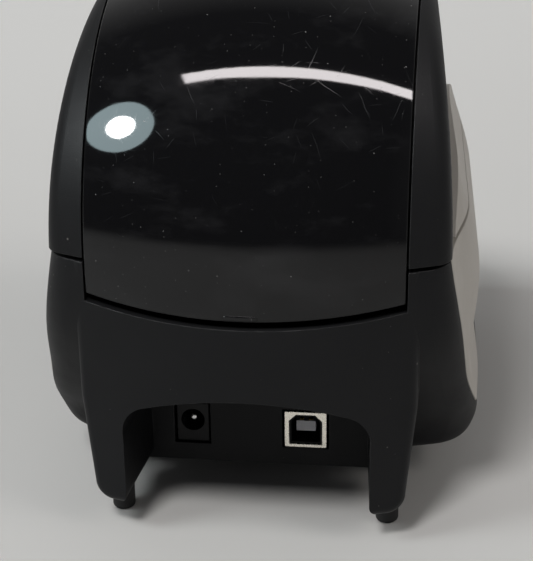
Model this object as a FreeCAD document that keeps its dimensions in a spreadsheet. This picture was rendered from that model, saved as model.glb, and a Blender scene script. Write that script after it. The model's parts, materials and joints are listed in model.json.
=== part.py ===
import FreeCAD, Part
import math
import os
import Sketcher
from FreeCAD import Placement, Rotation, Vector

# Thermal label printer, in millimetres. +Z is up, the front faces -Y and the back faces +Y.
# The origin is on the table, under the middle of the printer.

doc = FreeCAD.newDocument("label_printer")
size = doc.addObject("Spreadsheet::Sheet", "size")

SIZES = {
    # the whole printer
    "overall_width": 124,
    "overall_depth": 187,
    "overall_height": 150,
    "lid_height": 70,
    "seam_gap": 1.2,
    "wall": 2.8,
    "panel_gap": 0.3,
    "fit_gap": 0.1,
    "running_gap": 0.05,
    # plan sections of the lower body and the cheeks: height above the table, or above the seam
    # from the brow up, then distances in from the overall box
    "flare_height": 18, "flare_side": 0.7, "flare_knee": 1.2, "flare_rear": 29.5, "flare_front": 0,
    "ankle_height": 28, "ankle_side": 0.3, "ankle_knee": 0.5, "ankle_rear": 22, "ankle_front": 2.5,
    "waist_height": 40, "waist_side": 2.2, "waist_knee": 2.4, "waist_rear": 13, "waist_front": 7,
    "bulge_height": 58, "bulge_side": 0.7, "bulge_knee": 5.2, "bulge_rear": 2, "bulge_front": 15,
    "brow_height": 0, "brow_side": 4.5, "brow_knee": 8.9, "brow_rear": 0, "brow_front": 26.5,
    "cheek_height": 12, "cheek_side": 7.7, "cheek_knee": 10.8, "cheek_rear": 3, "cheek_front": 33,
    "temple_height": 24, "temple_side": 11, "temple_knee": 14.5, "temple_rear": 12, "temple_front": 40,
    "crest_height": 33, "crest_side": 14.8, "crest_knee": 18.5, "crest_rear": 20, "crest_front": 46,
    "floor_height": 10,
    "bottom_round": 9.5,
    "rear_rise": 18.8,
    "rear_corner_tangent": 8,
    "knee_run": 16,
    "widest_inset": 53.5,
    "front_rise": 7,
    "front_taper": 4,
    "front_corner_tangent": 13,
    # lid
    "dome_radius": 74,
    "crown_radius": 120,
    "lid_inset": 8,
    "lid_taper": 2.9,
    "lid_margin": 5,
    "lid_skirt": 20,
    "lean_radius": 430,
    "shoulder_radius": 6.5,
    "shoulder_width": 12.3,
    "window_thickness": 2.2,
    "window_groove": 0.6,
    "ledge_width": 6.5,
    "ledge_thickness": 2.1,
    "shoulder_wall": 2.4,
    "band_height": 12,
    "tail_side": 9,
    "tail_middle": 12.6,
    "tail_gap": 2.3,
    "cheek_wall": 2.2,
    "cheek_rise": 20,
    "cheek_peak_inset": 83.5,
    "cheek_rear_inset": 31.5,
    "mouth_width": 69,
    # lid hinge
    "knuckle_clear": 3.8,
    "hinge_rise": 1.3,
    "pin_radius": 1.5,
    "knuckle_radius": 3,
    "arm_offset": 18,
    "arm_width": 6,
    "arm_gap": 0.5,
    "inner_knuckle_width": 5.5,
    "outer_knuckle_width": 4,
    "pillar_depth": 9,
    # rear apron, its legs and the cable arch
    "apron_inset": 16.5,
    "apron_draft": 2.6,
    "apron_wall": 2.6,
    "leg_bottom": 8.5,
    "leg_width": 11.5,
    "arch_draft": 2.8,
    "arch_spring": 30,
    "arch_shoulder": 40,
    "arch_shoulder_run": 7,
    "arch_top": 44.3,
    "recess_depth": 33,
    "recess_wall": 2.4,
    "leg_round": 5.5,
    "leg_inner_round": 3.6,
    "apron_edge_round": 3,
    # side wings and front plate
    "wing_thickness": 1.5,
    "wing_front_x": 36,
    "wing_rear_inset": 17.7,
    "wing_tip_inset": 39.6,
    "wing_tip_width": 44,
    "wing_tip_height": 28.4,
    "wing_front_depth": 18,
    "plate_width": 66,
    "plate_bottom": 20,
    "plate_top": 73,
    "plate_thickness": 1.4,
    "plate_round": 9,
    # floor and feet
    "floor_plate_thickness": 1.6,
    "floor_side_inset": 18,
    "floor_front_inset": 21.5,
    "floor_rear_inset": 49.5,
    "floor_plate_round": 6,
    "floor_ledge": 3,
    "floor_ledge_round": 11,
    "foot_radius": 3.2,
    "foot_round": 1.2,
    "foot_recess": 1.5,
    "foot_side_inset": 24.4,
    "rear_foot_inset": 19.5,
    "front_foot_inset": 15,
    "foot_boss_radius": 5.8,
    "foot_boss_bottom": 4,
    "screw_inset": 4.6,
    "screw_radius": 1.25,
    "screw_head_radius": 2.4,
    "screw_head_height": 1.1,
    "screw_length": 6,
    "screw_boss_radius": 3,
    "screw_cross_half": 1.6,
    "screw_cross_slot": 0.6,
    # spool and its cradle
    "arm_plate_inset": 3.7,
    "arm_plate_thickness": 2.6,
    "arm_plate_radius": 13,
    "slot_angle": 50,
    "journal_radius": 4,
    "journal_gap": 0.08,
    "journal_shoulder": 0.6,
    "spindle_radius": 7,
    "spool_flange_radius": 30,
    "spool_flange_thickness": 2.4,
    "spool_flange_inset": 7.4,
    "spool_hub_radius": 11,
    "spool_hole_radius": 5,
    "spool_hole_place": 20,
    "spool_hole_count": 6,
    # roll trough
    "trough_radius": 55,
    "trough_wall": 2,
    "trough_side_inset": 14,
    "trough_reach": 39.5,
    "ramp_width": 66,
    "ramp_clear": 22.2,
    "post_x": 37.5,
    "post_radius": 2,
    "post_front": -25.5,
    "post_rear": 6.5,
    # circuit board and sockets
    "board_width": 64,
    "board_depth": 50.8,
    "board_thickness": 1.3,
    "board_lift": 0.1,
    "board_setback": 7.5,
    "standoff_radius": 2.6,
    "standoff_x": 30,
    "standoff_front": 5,
    "standoff_rear": 29,
    "jack_x": 19.45,
    "socket_gap": 0.7,
    "jack_width": 9.2,
    "jack_height": 12,
    "jack_depth": 12.5,
    "jack_setback": 0.9,
    "jack_hole_radius": 3.4,
    "jack_hole_depth": 9.5,
    "jack_hole_height": 6.8,
    "jack_pin_radius": 1.1,
    "jack_pin_length": 8,
    "jack_pin_round": 0.8,
    "usb_x": -13.3,
    "usb_width": 12,
    "usb_height": 11.2,
    "usb_depth": 14,
    "usb_wall": 1.25,
    "usb_lip": 0.9,
    "usb_corner": 0.5,
    "usb_chamfer": 2,
    "usb_insert_setback": 0.5,
    "usb_insert_wall": 0.5,
    "usb_insert_back": 2,
    "usb_tongue_width": 5.6,
    "usb_tongue_height": 3.2,
    "usb_tongue_setback": 1.6,
    "usb_contact_pitch": 2.5,
    "usb_contact_width": 1.1,
    "usb_contact_thickness": 0.25,
    "usb_contact_setback": 0.6,
    "chip_width": 14,
    "chip_height": 1.6,
    "capacitor_radius": 3.2,
    "capacitor_height": 5,
    # label slot and print mechanism
    "slot_clear": 4.7,
    "slot_length": 68,
    "slot_width": 5.5,
    "deck_thickness": 2,
    "deck_overhang": 6.7,
    "tear_bar_thickness": 0.6,
    "tear_bar_height": 3.2,
    "tear_tooth": 2,
    "path_lean": 25,
    "nip_drop": 15,
    "platen_radius": 6,
    "platen_length": 62,
    "platen_shaft_radius": 3,
    "platen_shaft_end": 1.2,
    "bush_radius": 4.6,
    "bush_overhang": 0.3,
    "side_plate_x": 35.5,
    "side_plate_thickness": 1.5,
    "side_plate_front": -6,
    "side_plate_rear": 30.2,
    "crossbar_depth": 2.8,
    "crossbar_height": 5,
    "front_bar_depth": 19.4,
    "rear_bar_height": 12,
    "gear_module": 0.8,
    "gear_x": 38.5,
    "gear_width": 4,
    "mesh_gap": 0.12,
    "platen_teeth": 20,
    "idler_teeth": 40,
    "pinion_teeth": 12,
    "stud_radius": 2,
    "stud_head_radius": 3.4,
    "stud_head_height": 1,
    "motor_back": 22.89,
    "motor_drop": 38.25,
    "motor_radius": 12,
    "motor_length": 22,
    "motor_shaft_radius": 1.5,
    "motor_shaft_room": 0.5,
    "head_gap": 0.1,
    "head_width": 64,
    "head_height": 10,
    "head_thickness": 1,
    "sink_thickness": 4.9,
    "sink_top": 6,
    "sink_bottom": -14,
    "ear_thickness": 3,
    "ear_radius": 4,
    "ear_height": 6,
    "pivot_y": -10,
    "pivot_z": -16,
    "pivot_radius": 2,
    "chute_front": -2.3,
    "chute_back": -0.8,
    "chute_top": -16.5,
    "chute_bottom": -31,
    "guide_x": 24,
    "guide_width": 4,
    "guide_travel": 36,
    "guide_height": 9,
    "guide_depth": 6,
    "guide_bottom": -29.5,
    "guide_play": 1.5,
    "guide_tongue_inset": 0.5,
    "guide_tongue_reach": 1,
    "groove_bottom": -26.5,
    "groove_height": 2.4,
    "lever_y": 23.2,
    "lever_depth": 23.4,
    "lever_gap": 1.5,
    "lever_thickness": 2.5,
    "lever_hub_radius": 5,
    "lever_pin_radius": 2.5,
    "lever_pin_head": 1,
    "lever_pin_rim": 1.5,
    "lever_length": 17,
    "lever_width": 6,
    "lever_lean": 20,
    "lever_knob_radius": 4.5,
    # front controls
    "button_x": -12,
    "button_z": 34,
    "button_radius": 6,
    "button_proud": 0.8,
    "button_gap": 0.25,
    "button_travel": 0.8,
    "button_back_inset": 12.5,
    "button_collar_radius": 7.5,
    "button_collar_thickness": 1.5,
    "button_stem_radius": 2.5,
    "light_z": 52,
    "light_radius": 1.6,
    "light_gap": 1.5,
    "front_board_inset": 21.5,
    "front_board_left": -30,
    "front_board_right": 6,
    "front_board_bottom": 24,
    "front_board_top": 57,
    "boss_radius": 2.4,
    "boss_inset": 4,
    "switch_height": 3.2,
    "switch_width": 6.2,
}

for row, (alias, number) in enumerate(SIZES.items(), 1):
    size.set(f"A{row}", alias.replace("_", " "))
    size.set(f"B{row}", str(number))
    size.setAlias(f"B{row}", alias)
doc.recompute()

# Places that several pieces share, as expressions on the sheet
AXIS_Y = "(size.overall_depth / 2 - size.dome_radius)"
AXIS_Z = "(size.overall_height - size.dome_radius)"
BACK = "(size.overall_depth / 2)"
FRONT = "(-size.overall_depth / 2)"
SEAM = "(size.overall_height - size.lid_height)"
HINGE_Y = f"({BACK} - size.window_thickness - size.knuckle_radius - size.knuckle_clear)"
HINGE_Z = f"({SEAM} + size.hinge_rise)"
LID_BOTTOM = f"({SEAM} + size.seam_gap / 2)"
BODY_TOP = f"({SEAM} - size.seam_gap / 2)"
LID_HALF = "(size.overall_width / 2 - size.lid_inset)"
WINDOW_HALF = f"({LID_HALF} - size.shoulder_width)"
APRON_HALF = "(size.overall_width / 2 - size.apron_inset)"
ARCH_HALF = f"({APRON_HALF} - size.leg_width)"
RECESS = f"({BACK} - size.recess_depth)"
RECESS_INNER = f"({RECESS} - size.recess_wall)"
SLOT_Y = f"({AXIS_Y} - size.dome_radius - size.slot_clear)"
# Further out than any piece reaches
FAR = 250

parts = {}


def mm(expression):
    """The value of an expression on the size sheet."""
    return float(size.evalExpression(expression))


def cell(alias):
    """One named size."""
    return mm("size." + alias)


def node(label, piece):
    """Keep a finished piece under its own name."""
    piece.Label = label
    parts[label] = piece
    return piece


def feature(name, shape):
    piece = doc.addObject("Part::Feature", name)
    piece.Shape = shape
    return piece


def box(name, x, y, z):
    """A box between three pairs of expressions."""
    piece = doc.addObject("Part::Box", name)
    for side, axis, (low, high) in zip(("Length", "Width", "Height"), "xyz", (x, y, z)):
        piece.setExpression(side, f"({high}) - ({low})")
        piece.setExpression(f"Placement.Base.{axis}", low)
    return piece


TURN = {
    "x": Rotation(Vector(0, 1, 0), 90),
    "y": Rotation(Vector(1, 0, 0), -90),
    "z": Rotation(),
}


def rod(name, axis, span, radius, centre):
    """A round bar along one axis, from span[0] to span[1], with the other two coordinates of its centre."""
    piece = doc.addObject("Part::Cylinder", name)
    piece.Placement = Placement(Vector(), TURN[axis])
    piece.setExpression("Radius", radius)
    piece.setExpression("Height", f"({span[1]}) - ({span[0]})")
    places = dict(zip([letter for letter in "xyz" if letter != axis], centre))
    places[axis] = span[0]
    for letter, place in places.items():
        piece.setExpression(f"Placement.Base.{letter}", place)
    return piece


def cut(name, base, *tools):
    for tool in tools:
        piece = doc.addObject("Part::Cut", name)
        piece.Base = base
        piece.Tool = tool
        base = piece
    return base


def fuse(name, *pieces):
    piece = doc.addObject("Part::MultiFuse", name)
    piece.Shapes = list(pieces)
    return piece


def common(name, base, tool):
    piece = doc.addObject("Part::Common", name)
    piece.Base = base
    piece.Tool = tool
    return piece


def mirrored(name, source):
    """The same piece on the other side of the printer."""
    piece = doc.addObject("Part::Mirroring", name)
    piece.Source = source
    piece.Normal = Vector(1, 0, 0)
    return piece


def both_sides(low, high):
    """The spans of x on the left and on the right of the middle."""
    return [(low, high), (f"-({high})", f"-({low})")]


# Outer form

def rounded_outline(corners, height):
    """A closed wire at one height, whose corners (x, y, tangent length) are arcs."""
    count = len(corners)
    arcs = []
    for index, (x, y, tangent) in enumerate(corners):
        corner = Vector(x, y, height)
        before = Vector(*corners[index - 1][:2], height) - corner
        after = Vector(*corners[(index + 1) % count][:2], height) - corner
        before.normalize()
        after.normalize()
        half_turn = (math.pi - before.getAngle(after)) / 2
        to_arc = tangent / math.tan(half_turn) * (1 / math.cos(half_turn) - 1)
        middle = corner + (before + after).normalize() * to_arc
        arcs.append((corner + before * tangent, middle, corner + after * tangent))
    edges = []
    for index, (start, middle, end) in enumerate(arcs):
        edges.append(Part.Arc(start, middle, end).toShape())
        edges.append(Part.LineSegment(end, arcs[(index + 1) % count][0]).toShape())
    return Part.Wire(edges)


# Share of a crowned side that is arc, and of a flank that bends
CROWN_SHARE = 0.68
BEND_SHARE = 0.45
# Most of a crowned front's straight end that its corner may take
CORNER_SHARE = 0.995


def crown(reach, half_width, rise):
    """Corner heights of a crowned side: the peak of its two lines, and where it meets the flank."""
    slope = math.atan2(rise, half_width)
    tangent = CROWN_SHARE * math.hypot(half_width, rise)
    peak = reach + tangent / math.tan(slope) * (1 / math.cos(slope) - 1)
    return peak, peak - rise, tangent


def plan_section(name, inset, height):
    """The outline of the body at one named level, drawn in by inset."""
    side = mm(f"size.overall_width / 2 - size.{name}_side") - inset
    knee = mm(f"size.overall_width / 2 - size.{name}_knee") - inset
    rear = mm(f"size.overall_depth / 2 - size.{name}_rear") - inset
    front = mm(f"size.overall_depth / 2 - size.{name}_front") - inset
    rear_peak, rear_corner, rear_tangent = crown(rear, knee, cell("rear_rise"))
    front_x = side - cell("front_taper")
    front_peak, front_corner, front_tangent = crown(front, front_x, cell("front_rise"))
    front_room = CORNER_SHARE * (1 / CROWN_SHARE - 1) * front_tangent
    knee_y = rear_corner - cell("knee_run")
    widest_y = min(mm(f"{BACK} - size.widest_inset"), knee_y - cell("knee_run"))
    bend = BEND_SHARE * min(knee_y - widest_y, widest_y + front_corner)
    # a straight knee has no arc, so its corner stands out by a hair
    hair = 0.05
    right = [
        (knee, rear_corner, cell("rear_corner_tangent")),
        (knee + hair, knee_y, BEND_SHARE * cell("knee_run")),
        (side, widest_y, bend),
        (front_x, -front_corner, min(cell("front_corner_tangent"), front_room)),
    ]
    left = [(-x, y, tangent) for x, y, tangent in reversed(right)]
    corners = [(0, rear_peak, rear_tangent)] + right + [(0, -front_peak, front_tangent)] + left
    return rounded_outline(corners, height)


BOTTOM_ANGLES = (0, 35, 65)
LOW_LEVELS = ("flare", "ankle", "waist", "bulge")
HIGH_LEVELS = ("brow", "cheek", "temple", "crest")


def body_form(inset):
    """The solid of the lower body and the cheeks, drawn in by inset all round."""
    radius = cell("bottom_round")
    wires = []
    for degrees in BOTTOM_ANGLES:
        angle = math.radians(degrees)
        drawn_in = radius - (radius - inset) * math.sin(angle)
        height = cell("floor_height") + radius - (radius - inset) * math.cos(angle)
        wires.append(plan_section("flare", drawn_in, height))
    for level in LOW_LEVELS:
        wires.append(plan_section(level, inset, cell(level + "_height")))
    for level in HIGH_LEVELS:
        wires.append(plan_section(level, inset, mm(SEAM) + cell(level + "_height")))
    return Part.makeLoft(wires, True, False)


def dome_form(inset):
    """The barrel of the lid: a crowned drum between two sides that lean in upwards and forwards."""
    middle = Vector(0, mm(AXIS_Y), mm(AXIS_Z))
    crown_radius = cell("crown_radius") - inset
    radius = cell("dome_radius") - inset
    half = mm(LID_HALF) - inset
    drop = crown_radius - math.sqrt(crown_radius ** 2 - half ** 2)
    rim = [middle + Vector(x, 0, -r) for x, r in ((-half, radius - drop), (0, radius), (half, radius - drop))]
    ends = [middle + Vector(-half, 0, 0), middle + Vector(half, 0, 0)]
    profile = Part.Wire([
        Part.Arc(*rim).toShape(),
        Part.LineSegment(rim[2], ends[1]).toShape(),
        Part.LineSegment(ends[1], ends[0]).toShape(),
        Part.LineSegment(ends[0], rim[0]).toShape(),
    ])
    drum = Part.Face(profile).revolve(middle, Vector(1, 0, 0), 360)

    def side(height):
        return half - height ** 2 / (2 * cell("lean_radius"))

    top = cell("dome_radius") + cell("lid_margin")
    low = mm(AXIS_Z) - cell("lid_skirt")
    points = [(side(h), mm(AXIS_Z) + h) for h in (0, top / 2, top)]
    right = [Vector(x, -FAR, z) for x, z in points]
    left = [Vector(-x, -FAR, z) for x, z in reversed(points)]
    feet = [Vector(-half, -FAR, low), Vector(half, -FAR, low)]
    outline = Part.Wire([
        Part.LineSegment(feet[1], right[0]).toShape(),
        Part.Arc(*right).toShape(),
        Part.LineSegment(right[2], left[0]).toShape(),
        Part.Arc(*left).toShape(),
        Part.LineSegment(left[2], feet[0]).toShape(),
        Part.LineSegment(feet[0], feet[1]).toShape(),
    ])
    slab = Part.Face(outline).extrude(Vector(0, 2 * FAR, 0))
    barrel = drum
    for taper in (cell("lid_taper"), -cell("lid_taper")):
        turned = slab.copy()
        turned.rotate(Vector(0, mm(BACK), 0), Vector(0, 0, 1), taper)
        barrel = barrel.common(turned)
    # the shoulder is the long edge between the drum and each side, above the cut-off underside
    edges = [
        edge for edge in barrel.Edges
        if edge.BoundBox.ZLength > cell("shoulder_radius") and abs(edge.CenterOfMass.x) > half / 2
        and edge.BoundBox.YLength > 1
    ]
    return barrel.makeFillet(cell("shoulder_radius") - inset, edges)


WIDE = (f"-{FAR}", f"{FAR}")
body_outer = feature("body_outer", body_form(0))
dome_outer = feature("dome_outer", dome_form(0))
above_seam = box("above_seam", WIDE, WIDE, (LID_BOTTOM, f"{FAR}"))
below_seam = box("below_seam", WIDE, WIDE, ("0", BODY_TOP))


def face_from(edges):
    return Part.Face(Part.Wire([edge.toShape() for edge in edges]))


def tail_prism(name, half_width, side_drop, middle_drop, from_y):
    """Everything behind from_y and above the curved lower edge of the window's tail."""
    seam = mm(SEAM)
    low = [Vector(x, from_y, seam - drop) for x, drop in
           ((-half_width, side_drop), (0, middle_drop), (half_width, side_drop))]
    high = [Vector(half_width, from_y, FAR), Vector(-half_width, from_y, FAR)]
    face = face_from([
        Part.Arc(*low),
        Part.LineSegment(low[2], high[0]),
        Part.LineSegment(high[0], high[1]),
        Part.LineSegment(high[1], low[0]),
    ])
    return feature(name, face.extrude(Vector(0, FAR, 0)))


# Lid: glossy window band

window_tail = tail_prism("window_tail", mm(WINDOW_HALF), cell("tail_side"), cell("tail_middle"), mm(AXIS_Y))
window_front = box("window_front", (f"-{WINDOW_HALF}", WINDOW_HALF), (f"-{FAR}", AXIS_Y),
                   (LID_BOTTOM, f"{FAR}"))
window_reach = fuse("window_reach", window_tail, window_front)
window_skin = cut("window_skin", dome_outer, feature("dome_window", dome_form(cell("window_thickness"))))
node("lid_window", common("lid_window", window_skin, window_reach))

# Lid: frame with the shoulders, the ledge under the window, the spool arms and the hinge knuckles

SEAT = "(size.window_thickness + size.fit_gap)"
POCKET_HALF = f"({WINDOW_HALF} + size.window_groove)"
LEDGE_OUT = f"({POCKET_HALF} + size.shoulder_wall)"
LEDGE_IN = f"({WINDOW_HALF} - size.ledge_width)"
dome_seat = feature("dome_seat", dome_form(mm(SEAT)))
dome_under = feature("dome_under", dome_form(mm(f"{SEAT} + size.ledge_thickness")))
dome_shoulder = feature("dome_shoulder", dome_form(cell("shoulder_wall")))
frame_skin = common("frame_skin", cut("frame_wall", dome_outer, dome_under), above_seam)
pocket_slab = box("pocket_slab", (f"-{POCKET_HALF}", POCKET_HALF), WIDE, WIDE)
window_pocket = common("window_pocket", cut("pocket_skin", dome_outer, dome_seat), pocket_slab)
shoulder_hollows = [
    common("shoulder_hollow", dome_shoulder, box("shoulder_side", side, WIDE, WIDE))
    for side in both_sides(LEDGE_OUT, f"{FAR}")
]
window_view = box("window_view", (f"-{LEDGE_IN}", LEDGE_IN), WIDE,
                  (f"{SEAM} + size.band_height", f"{FAR}"))
frame_shell = cut("frame_shell", frame_skin, window_pocket, *shoulder_hollows, window_view)

ARM_X = f"({WINDOW_HALF} - size.arm_plate_inset)"
ARM_SPAN = (ARM_X, f"{ARM_X} + size.arm_plate_thickness")
SLOT_RADIUS = "(size.journal_radius + size.journal_gap)"


def spool_arm(span):
    """A plate under one shoulder, with the slanted slot that the spool's journal drops into."""
    plate = fuse(
        "arm_plate",
        rod("arm_round", "x", span, "size.arm_plate_radius", (AXIS_Y, AXIS_Z)),
        box("arm_riser", span, (f"{AXIS_Y} - size.arm_plate_radius", f"{AXIS_Y} + size.arm_plate_radius"),
            (AXIS_Z, f"{FAR}")),
    )
    seat = rod("arm_seat", "x", span, SLOT_RADIUS, (AXIS_Y, AXIS_Z))
    slot = doc.addObject("Part::Box", "arm_slot")
    slot.setExpression("Length", "size.arm_plate_thickness")
    slot.setExpression("Width", f"2 * {SLOT_RADIUS}")
    slot.setExpression("Height", "3 * size.arm_plate_radius")
    tilt = Rotation(Vector(1, 0, 0), cell("slot_angle"))
    corner = Vector(mm(span[0]), mm(AXIS_Y), mm(AXIS_Z)) - tilt.multVec(Vector(0, mm(SLOT_RADIUS), 0))
    slot.Placement = Placement(corner, tilt)
    return cut("spool_arm", common("arm_trim", plate, dome_seat), seat, slot)


spool_arms = [spool_arm(span) for span in both_sides(*ARM_SPAN)]

ARM_OUT = "(size.arm_offset + size.arm_width)"
INNER_KNUCKLE = ("size.arm_offset - size.arm_gap - size.inner_knuckle_width", "size.arm_offset - size.arm_gap")
OUTER_KNUCKLE = (f"{ARM_OUT} + size.arm_gap", f"{ARM_OUT} + size.arm_gap + size.outer_knuckle_width")
ARM_ROOM = ("size.arm_offset - size.arm_gap", f"{ARM_OUT} + size.arm_gap")
PIN_SPAN = (INNER_KNUCKLE[0], OUTER_KNUCKLE[1])
HINGE = (HINGE_Y, HINGE_Z)


def knuckle(span):
    """A hinge eye with its web to the band behind the window."""
    eye = rod("knuckle_eye", "x", span, "size.knuckle_radius", HINGE)
    web = box("knuckle_web", span, (HINGE_Y, f"{HINGE_Y} + 3 * size.knuckle_radius"),
              (LID_BOTTOM, f"{HINGE_Z} + 2 * size.knuckle_radius"))
    return fuse("knuckle", eye, common("knuckle_root", web, dome_seat))


knuckles = []
pin_holes = []
arm_rooms = []
pins = []
for sign in (0, 1):
    knuckles += [knuckle(both_sides(*span)[sign]) for span in (INNER_KNUCKLE, OUTER_KNUCKLE)]
    pin_holes.append(rod("pin_hole", "x", both_sides(*PIN_SPAN)[sign], "size.pin_radius + size.running_gap",
                         HINGE))
    pins.append(rod("hinge_pin", "x", both_sides(*PIN_SPAN)[sign], "size.pin_radius", HINGE))
    arm_rooms.append(rod("arm_room", "x", both_sides(*ARM_ROOM)[sign],
                         "size.knuckle_radius + size.window_groove", HINGE))
frame_cleared = cut("frame_cleared", frame_shell, *arm_rooms)
frame_solid = fuse("frame_solid", frame_cleared, *spool_arms, *knuckles)
node("lid_frame", cut("lid_frame", frame_solid, *pin_holes))
for label, pin in zip(("hinge_pin_left", "hinge_pin_right"), pins):
    node(label, pin)

# Lid: grey cheeks, the upper halves of the side wings


def cheek_prism(name, drop):
    """The low arch of a cheek from the side, lowered by drop and carried out past the flank."""
    x = mm("size.mouth_width / 2")
    low = mm(LID_BOTTOM) - drop
    rear = Vector(x, mm(f"{BACK} - size.cheek_rear_inset"), low)
    peak = Vector(x, mm(f"{BACK} - size.cheek_peak_inset"), mm(f"{SEAM} + size.cheek_rise") - drop)
    front = Vector(x, mm(f"{FRONT} + size.brow_front"), low)
    face = face_from([Part.Arc(rear, peak, front), Part.LineSegment(front, rear)])
    return feature(name, face.extrude(Vector(FAR, 0, 0)))


cheek_full = common("cheek_full", body_outer, cheek_prism("cheek_reach", 0))
cheek_hollow = common("cheek_hollow", feature("body_cheek", body_form(cell("cheek_wall"))),
                      cheek_prism("cheek_underside", cell("cheek_wall")))
cheek_left = cut("cheek_left", cheek_full, cheek_hollow, feature("dome_room", dome_form(-cell("fit_gap"))))
node("lid_cheek_left", cheek_left)
node("lid_cheek_right", mirrored("cheek_right", cheek_left))

# Lower body: apron, arch and main shell

ARCH_CEILING = "(size.arch_top + size.recess_wall)"


def drum(name, radius, low, high):
    """An upright drum whose back is the crowned back of the printer."""
    return rod(name, "z", (low, high), radius, ("0", f"{BACK} - size.crown_radius"))


def apron_form():
    """The rear apron: slightly tapered, with rounded feet and a crowned, soft-edged back."""
    half = mm(APRON_HALF)
    foot_half = half - cell("apron_draft")
    bottom = cell("leg_bottom")
    top = mm(BODY_TOP)
    bend = cell("waist_height")
    round_off = cell("leg_round")
    start = mm(RECESS_INNER)

    def at(x, z):
        return Vector(x, start, z)

    nook = round_off * (1 - math.sqrt(0.5))
    right = [at(foot_half - round_off, bottom), at(foot_half - nook, bottom + nook),
             at(foot_half, bottom + round_off)]
    left = [Vector(-p.x, p.y, p.z) for p in reversed(right)]
    face = face_from([
        Part.Arc(*right),
        Part.LineSegment(right[2], at(half, bend)),
        Part.LineSegment(at(half, bend), at(half, top)),
        Part.LineSegment(at(half, top), at(-half, top)),
        Part.LineSegment(at(-half, top), at(-half, bend)),
        Part.LineSegment(at(-half, bend), left[0]),
        Part.Arc(*left),
        Part.LineSegment(left[2], right[0]),
    ])
    block = face.extrude(Vector(0, FAR, 0))
    back = Part.makeCylinder(cell("crown_radius"), FAR,
                             Vector(0, mm(f"{BACK} - size.crown_radius"), -FAR / 2))
    apron = block.common(back)
    rim = [edge for edge in apron.Edges
           if edge.BoundBox.YMin > mm(RECESS) + round_off and edge.BoundBox.ZMin < top - 1]
    return apron.makeFillet(cell("apron_edge_round"), rim)


def arch_wire(y, half):
    """The outline of the cable arch at one depth, curling out under the legs to round them."""
    bottom = cell("leg_bottom")
    curl = cell("leg_inner_round")
    curl_nook = curl * (1 - math.sqrt(0.5))
    spring = cell("arch_spring")
    shoulder = cell("arch_shoulder")
    top_half = half - cell("arch_shoulder_run")
    nook_x = top_half + (half - top_half) * math.sqrt(0.5)
    nook_z = spring + (shoulder - spring) * math.sqrt(0.5)

    def at(x, z):
        return Vector(x, y, z)

    edges = [
        Part.LineSegment(at(-half - curl, -FAR), at(-half - curl, bottom)),
        Part.Arc(at(-half - curl, bottom), at(-half - curl_nook, bottom + curl_nook), at(-half, bottom + curl)),
        Part.LineSegment(at(-half, bottom + curl), at(-half, spring)),
        Part.Arc(at(-half, spring), at(-nook_x, nook_z), at(-top_half, shoulder)),
        Part.Arc(at(-top_half, shoulder), at(0, cell("arch_top")), at(top_half, shoulder)),
        Part.Arc(at(top_half, shoulder), at(nook_x, nook_z), at(half, spring)),
        Part.LineSegment(at(half, spring), at(half, bottom + curl)),
        Part.Arc(at(half, bottom + curl), at(half + curl_nook, bottom + curl_nook), at(half + curl, bottom)),
        Part.LineSegment(at(half + curl, bottom), at(half + curl, -FAR)),
        Part.LineSegment(at(half + curl, -FAR), at(-half - curl, -FAR)),
    ]
    return Part.Wire([edge.toShape() for edge in edges])


arch = feature("arch", Part.makeLoft([
    arch_wire(mm(RECESS), mm(f"{ARCH_HALF} - size.arch_draft")),
    arch_wire(mm(f"{BACK} + size.wall"), mm(ARCH_HALF)),
], True, True))

GUARD_HALF = f"({ARCH_HALF} + size.recess_wall)"
recess_guard = box("recess_guard", (f"-{GUARD_HALF}", GUARD_HALF), (RECESS_INNER, f"{FAR}"),
                   (f"-{FAR}", ARCH_CEILING))
body_hollow = cut("body_hollow", feature("body_inner", body_form(cell("wall"))), recess_guard)
APRON_HOLLOW = f"({APRON_HALF} - size.apron_wall)"
apron_hollow = common(
    "apron_hollow",
    box("apron_room", (f"-{APRON_HOLLOW}", APRON_HOLLOW), (RECESS, f"{FAR}"), (ARCH_CEILING, f"{FAR}")),
    drum("apron_inside", "size.crown_radius - size.apron_wall", ARCH_CEILING, f"{FAR}"),
)
tail_room = tail_prism("tail_room", mm(POCKET_HALF), mm("size.tail_side + size.tail_gap"),
                       mm("size.tail_middle + size.tail_gap"), mm(f"{RECESS} + size.pillar_depth"))


def grown(face, gap):
    return face.makeOffset2D(gap) if gap else face


# how far the middle of each edge of the wing stands off its chord
WING_BOW = {"rear": Vector(0, 6.3, -2.6), "front": Vector(0, 3, 5), "tip": Vector(0, 0, -3.5)}


def wing_face(x):
    """The lower wing from the side: a leaf that narrows to a round tip low on the flank."""
    top = mm(BODY_TOP) + cell("panel_gap")
    tip = cell("wing_tip_height")
    rear = Vector(x, mm(f"{BACK} - size.wing_rear_inset"), top)
    tip_rear = Vector(x, mm(f"{BACK} - size.wing_tip_inset"), tip)
    tip_front = tip_rear - Vector(0, cell("wing_tip_width"), 0)
    front = Vector(x, mm(FRONT), mm(f"{SEAM} - size.wing_front_depth"))
    front_top = Vector(x, mm(FRONT), top)
    rear_mid = (rear + tip_rear) * 0.5 + WING_BOW["rear"]
    front_mid = (tip_front + front) * 0.5 + WING_BOW["front"]
    tip_mid = (tip_rear + tip_front) * 0.5 + WING_BOW["tip"]
    return face_from([
        Part.Arc(rear, rear_mid, tip_rear),
        Part.Arc(tip_rear, tip_mid, tip_front),
        Part.Arc(tip_front, front_mid, front),
        Part.LineSegment(front, front_top),
        Part.LineSegment(front_top, rear),
    ])


def wing_prism(name, gap):
    x = cell("wing_front_x") - gap
    return feature(name, grown(wing_face(x), gap).extrude(Vector(FAR, 0, 0)))


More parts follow.
